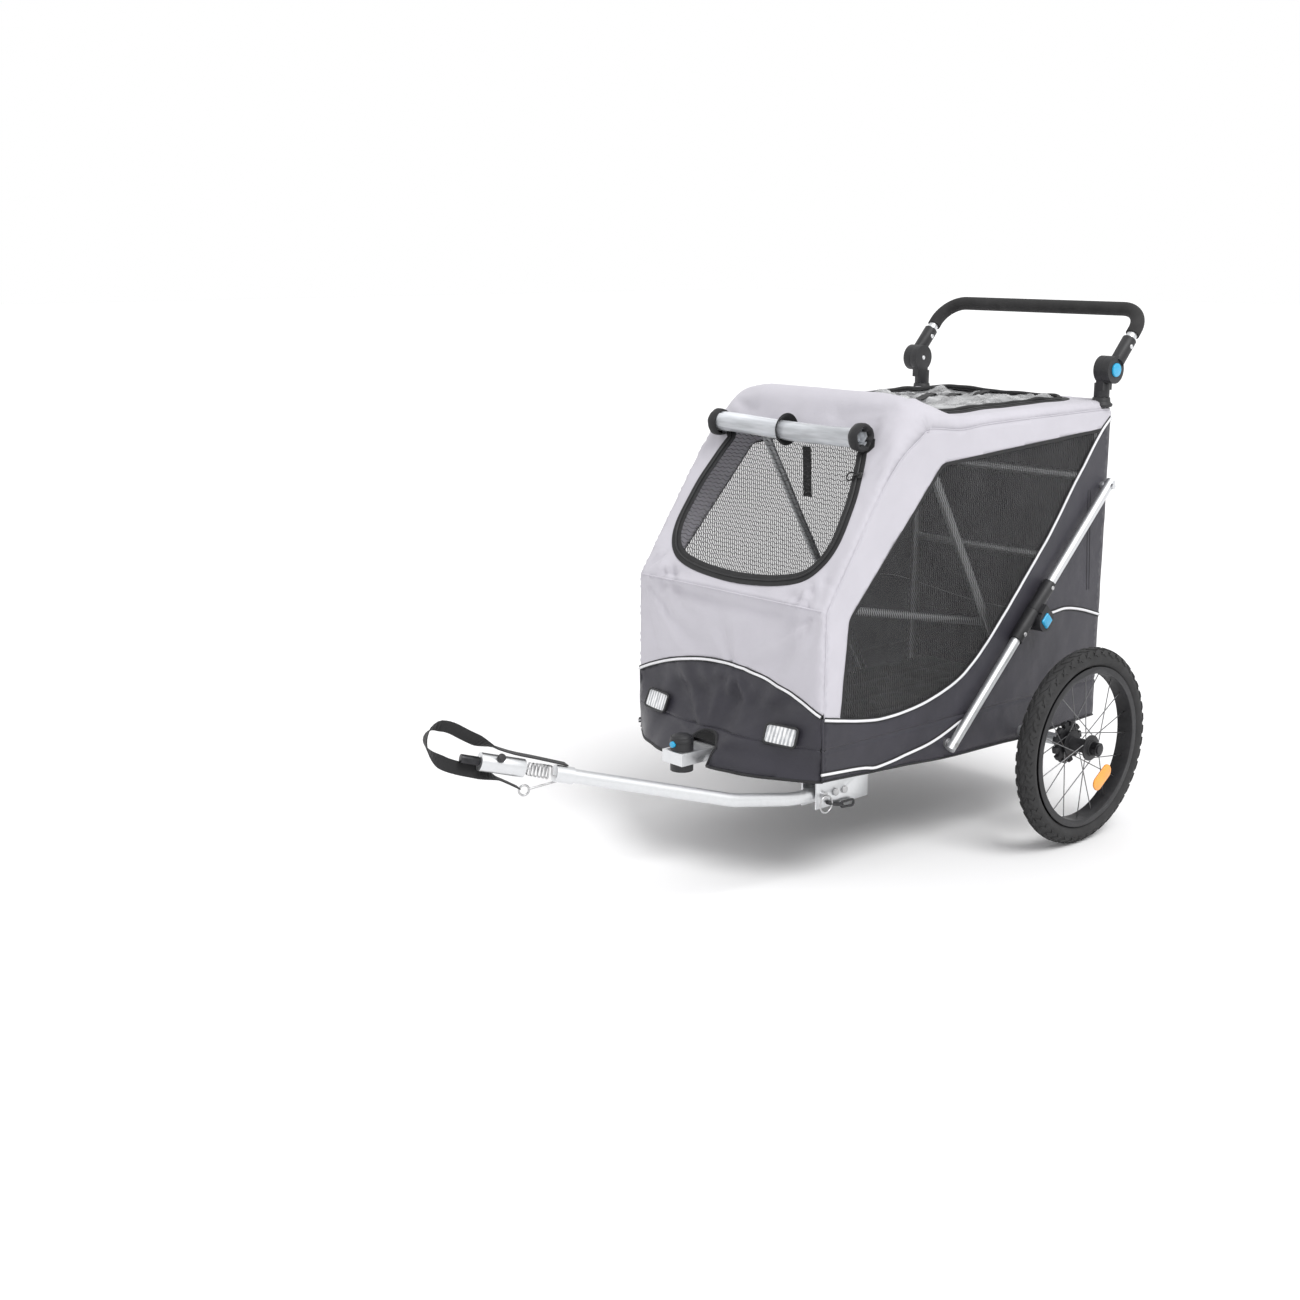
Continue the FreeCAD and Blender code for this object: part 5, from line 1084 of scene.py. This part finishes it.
def level_line(low, high, z):
    """A level line across the nose, with a point every 12 mm."""
    return [Vector((x, z)) for x in range(low, high, 12 if high > low else -12)]


def build_nose():
    """The slate nose, with an arched opening for the socket in its foot."""
    half, arch_half = NOSE_HALF, 36
    turns = [pi * i / 16 for i in range(17)]
    arch = [Vector((-arch_half, NOSE_HEM))]
    arch += [Vector((-arch_half * cos(a), 232 + 32 * sin(a))) for a in turns]
    arch += [Vector((arch_half, NOSE_HEM))]
    level = level_line(-half, half + 1, SKIRT)
    lower = level_line(-half, -arch_half, NOSE_HEM) + arch + level_line(arch_half + 12, half + 1, NOSE_HEM)
    lower += level[::-1]
    upper = level + [Vector((p.x, nose_line(p.x))) for p in level_line(half, -half - 1, 0)]

    def nose_place(x, z):
        far, fan = hypot(x, z - 245), atan2(z - 245, x)
        clear = max(0, min(1, (nose_line(x) - z) / 20, (z - NOSE_HEM) / 14, far / 70))
        pull = 10 * clear * noise.noise(Vector((fan * 4.6, far / 190, 8.3)))
        return on_cover(x, run_at_height(z)) + Vector((0, (1.6 * wrinkle(x, 0, z, 60, 17) + pull) * MM, 0))
    foot = panel("nose_foot_cloth", lower, nose_place, "slate", 10)
    nose = panel("nose_lower_cloth", upper, nose_place, "slate", 10)
    dress(foot, "slate_cloth", cut=[lower], falls=False)
    dress(nose, "slate_cloth", "front_lower_panel", [upper])
    out = Vector((0, -1, 0))
    line = [nose_place(x, nose_line(x)) + out * 0.0016 for x in range(-half, half + 1, 9)]
    folds(*piped("nose", line, out))
    side = level_line(arch_half, half + 1, NOSE_HEM)
    for label, pts in (("arch", arch), ("left", side), ("right", [Vector((-p.x, p.y)) for p in side])):
        hem = tube("nose_hem_" + label, [nose_place(p.x, p.y) for p in pts], 0.0028, "lining", 8)
        dress(hem, "black_cloth", falls=False)


def build_rear():
    half, top, notch, notch_low = 251, 860, 224, 846

    def rear_place(x, z):
        return at(x, REAR + 1.4 * wrinkle(x, 0, z, 80, 14) + 0.8 * wrinkle(x, 0, z, 33, 2), z)
    tub = [(-half, REAR_HEM), (half, REAR_HEM), (half, SKIRT), (-half, SKIRT)]
    low = panel("rear_tub_cloth", tub, rear_place, "slate", 12)
    dress(low, "slate_cloth", "rear_tub_wall", [tub], falls=False)
    upper = [
        (-half, SKIRT), (half, SKIRT), (half, notch_low), (notch, notch_low), (notch, top), (-notch, top),
        (-notch, notch_low), (-half, notch_low)]
    dress(panel("rear_wall_cloth", upper, rear_place, "slate", 12), "slate_cloth", "rear_panel", [upper])
    out = Vector((0, 1, 0))
    arc = [(x, 410 - 22 * sin(pi * (x + half) / (2 * half))) for x in range(-half, half + 1, 10)]
    folds(*piped("rear", [rear_place(x, z) + out * TAPE_LIFT for x, z in arc], out))
    door = rounded([(-190, 440), (-190, 806), (190, 806), (190, 440)], [0, 60, 60, 0], closed=False)
    line = [rear_place(p.x, p.y) + out * TAPE_LIFT for p in spaced(door, 9)]
    zipped("rear_zip", line, [out] * len(line))


def build_boots():
    """Flared collars where the uprights leave the roof."""
    section = [
        (11.6, 868), (16, 868.4), (18, 867), (18.5, 860), (20, 857), (23, 855), (23.6, 852), (22, 849),
        (14, 846.5), (11.6, 846.5)]
    rings = [
        lathe("collar", at(sign * 240, 235, 0), (0, 0, 1), section, "plastic", 40, loop=True)
        for sign in (1, -1)]
    dress(joined("corner_collars", rings, "plastic"), "black_cloth", "corner_boots")


# Frame, handle and chassis

def build_frame():
    for part in ("lower_brace", "upper_brace"):
        crisp(part + "_knees", "plastic", part + "s", 1.6, 3)
    crisp("handle_hinge_lowers", "plastic", "rear_frame", 2.0, 3)
    crisp("handle_hinge_uppers", "plastic", "handle", 2.0, 3)
    for sign, side in SIDES:
        crisp(side + "_handle_button", "blue", side + "_handle_button", 2.0, 3)
        crisp(side + "_brace_button", "blue", side + "_brace_button", 3.6, 4)
    for sign, side in SIDES:
        for name, y, z, body in (("low", -41, 413, "lower_braces"), ("high", 43, 497, "upper_braces")):
            rivet("%s_knee_rivet_%s" % (side, name), at(sign * 283.7, y, z), sign, "steel", body, 4.6)
        rivet(side + "_hinge_rivet", at(sign * 236.3, 234, 925), -sign, "silver", "rear_frame")
        for face, end in ((sign, "outer"), (-sign, "inner")):
            place = at(sign * 263 + face * 14.4, 275.9, 970.7)
            rivet("%s_arm_rivet_%s" % (side, end), place, face, "silver", "handle")


def build_chassis():
    crisp("socket_clamp", "silver", width=1.0)
    crisp("front_wheel_socket", "plastic", "base", 2.6, 3)
    crisp("socket_button", "blue", "socket_button", 1.5, 3)
    crisp("tow_bracket", "silver", width=1.0)
    crisp("base_frame", "silver", width=1.0)
    crisp("axle_clamps", "steel", width=1.0)
    crisp("pivot_brackets", "steel")
    section = [
        (0, 270), (8, 269.6), (14, 268), (19, 265), (22.4, 260.5), (23.4, 257), (23.4, 255), (22.2, 254)]
    lathe("socket_cap", at(0, -712, 0), (0, 0, 1), section, "plastic", 40)


# Wheels

TREADS = 46
TRACK = 403
TYRE_RING = 179
TYRE_WALL = 18.7


def tyre(side, sign):
    """A tyre with a plain wall and a zigzag tread of raised blocks."""
    middle = at(sign * TRACK, 0, 200)
    turns, ring = 144, 40

    def spot(theta, phi, r):
        along = TYRE_RING + r * cos(phi)
        return middle + Vector((r * sin(phi), along * sin(theta), along * cos(theta))) * MM
    verts = []
    for i in range(turns):
        for k in range(ring):
            phi = 2 * pi * k / ring
            verts.append(spot(2 * pi * i / turns, phi, TYRE_WALL + (1.2 if cos(phi) < 0.1 else 0)))
    faces = grid(turns, ring, True, True)

    def knob(theta, wide, low, high, skew, rise):
        start = len(verts)
        mid = (low + high) / 2
        for r, share in ((18.0, 1.0), (rise, 0.82)):
            for phi, shift in ((low, 0), (mid, 0.5), (high, 1)):
                p = mid + (phi - mid) * share
                for w in (-1, 1):
                    verts.append(spot(theta + skew * shift + w * wide * share, p, r))
        for face in ((0, 1, 7, 6), (1, 3, 9, 7), (3, 5, 11, 9), (5, 4, 10, 11), (4, 2, 8, 10), (2, 0, 6, 8),
                     (6, 7, 9, 8), (8, 9, 11, 10)):
            faces.append(tuple(start + i for i in face))
    step = 2 * pi / TREADS
    for i in range(TREADS):
        for w in (1, -1):
            base = i * step + (step / 2 if w < 0 else 0)
            knob(base, step * 0.28, 0.04 * w, 0.52 * w, step * 0.62, 21.0)
            knob(base + step * 0.62, step * 0.20, 0.60 * w, 1.16 * w, -step * 0.46, 20.9)
            knob(base + step * 0.16, step * 0.12, 0.76 * w, 1.36 * w, step * 0.40, 20.4)
    piece = from_data(side + "_tyre_shown", verts, faces, "rubber", side + "_wheel")
    outward(piece)
    piece.data.set_sharp_from_angle(angle=radians(34))
    dress(piece, "tyre_rubber", side + "_tyre", falls=False)


def build_wheels():
    for sign, side in SIDES:
        body = side + "_wheel"
        tyre(side, sign)
        crisp(side + "_rim", "plastic", body)
        crisp(side + "_hub", "plastic", body)
        crisp(side + "_wheel_reflector", "amber", body, 1.2, 3)
        crisp(side + "_axle_button", "plastic", side + "_axle_button", 1.2, 3)


# Reflectors and mat

def face_frame(node, sign):
    """Middle, outward, sideways and upward directions of the front faces of a node, on one side."""
    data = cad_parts[node].data
    faces = [f for f in data.polygons if f.center.x * sign > 0 and f.normal.y < -0.5]
    normal = sum((f.normal * f.area for f in faces), Vector()).normalized()
    corners = [data.vertices[i].co for f in faces for i in f.vertices]
    across = Vector((0, 0, 1)).cross(normal).normalized()
    up = normal.cross(across)
    middle = normal * max(c.dot(normal) for c in corners)
    for way in (across, up):
        span = [c.dot(way) for c in corners]
        middle += way * ((min(span) + max(span)) / 2)
    return middle, normal, across, up


def build_reflectors():
    """Front reflectors: a black frame and back round a ribbed clear lens."""
    lenses = []
    columns, rows = 57, 4
    for sign, label in SIDES:
        middle, normal, across, up = face_frame("front_reflectors", sign)

        def placed(x, y, rise):
            return middle + across * x + up * y + normal * rise
        verts = []
        for i in range(columns):
            t = i / (columns - 1) - 0.5
            rise = 0.0012 * (i % 2) - 0.004 * (2 * t) ** 2 * 0.4 - 0.0016
            for j in range(rows):
                verts.append(placed(t * 0.068, (j / (rows - 1) - 0.5) * 0.034, rise))
        lenses.append(from_data("lens", verts, grid(columns, rows), "lens", smooth=False))
        rim = [placed(p.x * MM, p.y * MM, -0.0022) for p in spaced(rectangle(71, 37, 7), 2.5, True)]
        tube("reflector_frame_" + label, rim, 0.0026, "plastic", 10, True)
        back = rectangle(72, 38, 7)
        count = len(back)
        verts = [placed(p.x * MM, p.y * MM, depth) for depth in (-0.003, -0.0068) for p in back]
        faces = [tuple(range(count)), tuple(range(count, 2 * count))[::-1]]
        faces += grid(2, count, False, True)
        from_data("reflector_back_" + label, verts, faces, "plastic", smooth=False)
    shown = joined("reflector_lenses", lenses, "lens")
    shown.data.polygons.foreach_set("use_smooth", [False] * len(shown.data.polygons))
    dress(shown, "white_lens", "front_reflectors", falls=False)


def build_mat():
    """The floor mat: a quilted pad, crowned between its sewn lines."""
    low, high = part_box("floor_mat")
    size = [b - a for a, b in zip(low, high)]
    columns, rows = 60, 100
    verts = []
    for layer in (0, 1):
        for i in range(columns + 1):
            for j in range(rows + 1):
                u, v = i / columns, j / rows
                edge = min(u * size[0], (1 - u) * size[0], v * size[1], (1 - v) * size[1])
                full = min(1.0, edge / 0.03) ** 0.5
                quilt = abs(sin(pi * u * 4)) ** 0.4 * abs(sin(pi * v * 7)) ** 0.4
                rise = size[2] * (0.45 + full * (0.2 + 0.35 * quilt)) if layer else 0.0
                verts.append((low[0] + size[0] * u, low[1] + size[1] * v, low[2] + rise))
    n = rows + 1
    m = (columns + 1) * n
    faces = grid(columns + 1, n, flip=True)
    faces += [tuple(m + i for i in face) for face in grid(columns + 1, n)]
    for i in range(columns):
        a, b = i * n, i * n + rows
        faces += [(a, a + n, a + n + m, a + m), (b, b + m, b + n + m, b + n)]
    for j in range(rows):
        a, b = j, columns * n + j
        faces += [(a, a + m, a + 1 + m, a + 1), (b, b + 1, b + 1 + m, b + m)]
    mat = from_data("floor_mat_quilted", verts, faces, "lining")
    dress(mat, "black_cloth", "floor_mat", falls=False)


# Towing

TOW_END = at(100, -1085, 287)
TOW_LINE = (TOW_END - at(205, -775, 200)).normalized()
TOW_LEVEL = Vector((TOW_LINE.x, TOW_LINE.y, 0)).normalized()
TOW_LEFT = TOW_LINE.cross(Vector((0, 0, 1))).normalized()
STRAP_SIDE = 8.0
STRAP_ROUTE = [
    (-13, 17.3), (16, 19), (48, 21), (84, 22), (124, 29), (160, 38), (198, 53), (226, 44), (238, 20),
    (231, 0), (210, -15), (179, -20), (146, -20.5), (110, -26), (74, -38)]


def strap_point(distance, rise):
    """A point of the strap's route: a level distance from the bar's end and a rise over the bar's line."""
    climb = distance * TOW_LINE.z / hypot(TOW_LINE.x, TOW_LINE.y) + rise
    return TOW_END + (TOW_LEVEL * distance + Vector((0, 0, climb)) + TOW_LEFT * STRAP_SIDE) * MM


def route_line(name, points):
    """Points along the smooth line that a route's points control."""
    data = bpy.data.curves.new(name, "CURVE")
    data.dimensions = "3D"
    data.resolution_u = 12
    spline = data.splines.new("NURBS")
    spline.points.add(len(points) - 1)
    for point, place in zip(spline.points, points):
        point.co = (*place, 1)
    spline.order_u = 3
    spline.use_endpoint_u = True
    holder = bpy.data.objects.new(name, data)
    mesh = bpy.data.meshes.new_from_object(holder)
    line = [v.co.copy() for v in mesh.vertices]
    bpy.data.objects.remove(holder)
    bpy.data.curves.remove(data)
    bpy.data.meshes.remove(mesh)
    return line


def build_strap():
    """Safety strap of flat webbing, twisted so that its loop shows its face."""
    width = 0.024
    line = spaced(route_line("strap_route", [strap_point(d, r) for d, r in STRAP_ROUTE]), 0.006)
    normals = []
    for i, p in enumerate(line):
        ahead = (p - TOW_END).dot(TOW_LEVEL) / MM
        twist = radians(66) * max(0, min(1, (ahead - 112) / 34)) * max(0, min(1, (236 - ahead) / 26))
        normals.append(TOW_LEFT.cross(heading_at(line, i)) * cos(twist) + TOW_LEFT * sin(twist))
    strap = band("safety_strap_shown", line, normals, width, 0.002, "webbing")
    dress(strap, "black_cloth", "safety_strap", falls=False)
    length_of(line)


def build_clip():
    """A black snap link that hangs at the tow bracket's lower edge."""
    corners = [(-534, 146.5), (-499, 143), (-499, 155.5), (-534, 156.5)]
    ring = [at(247.5, p.x, p.y) for p in spaced(rounded(corners, [5] * 4), 3, True)]
    tube("snap_link", ring, 0.0024, "plastic", 10, True)
    line = [at(247.5, -571, 163), at(247.8, -560, 158.5), at(248, -546, 154.5), at(247.8, -532, 152)]
    tube("snap_link_body", line, 0.0048, "plastic", 12, squash=((1, 0, 0), 0.7))


def build_tow():
    build_strap()
    build_clip()
    crisp("hitch_housing", "silver", "hitch", 1.5, 3)
    crisp("hitch_tongue", "dark_steel", "hitch", 1.2, 3)
    crisp("hitch_knob", "plastic", "hitch_knob", 1.2, 3)
    crisp("tow_bracket_bolts", "steel", width=0.6)


# Rigid nodes that stay as they are

RIGID = {
    "silver": [
        "roof_bow", "nose_bow", "rear_frame_tubes", "lower_brace_tubes", "upper_brace_tubes", "handle_tube",
        "axle_tube", "tow_bar"],
    "steel": ["tow_lock_pin", "hitch_spring", "strap_hook"],
    "spoke": ["left_spokes", "right_spokes"],
    "dark_steel": ["wheel_axles"],
    "plastic": ["floor_board"],
    "foam": ["handle_grip"],
}


def paint_nodes():
    for key, names in RIGID.items():
        for name in names:
            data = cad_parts[name].data
            data.materials.clear()
            data.materials.append(MATERIALS[key])


look()
studio()
make_materials()
paint_nodes()
build_floor()
build_upper()
build_sides()
build_nose()
build_rear()
build_boots()
build_frame()
build_chassis()
build_reflectors()
build_mat()
build_wheels()
build_tow()
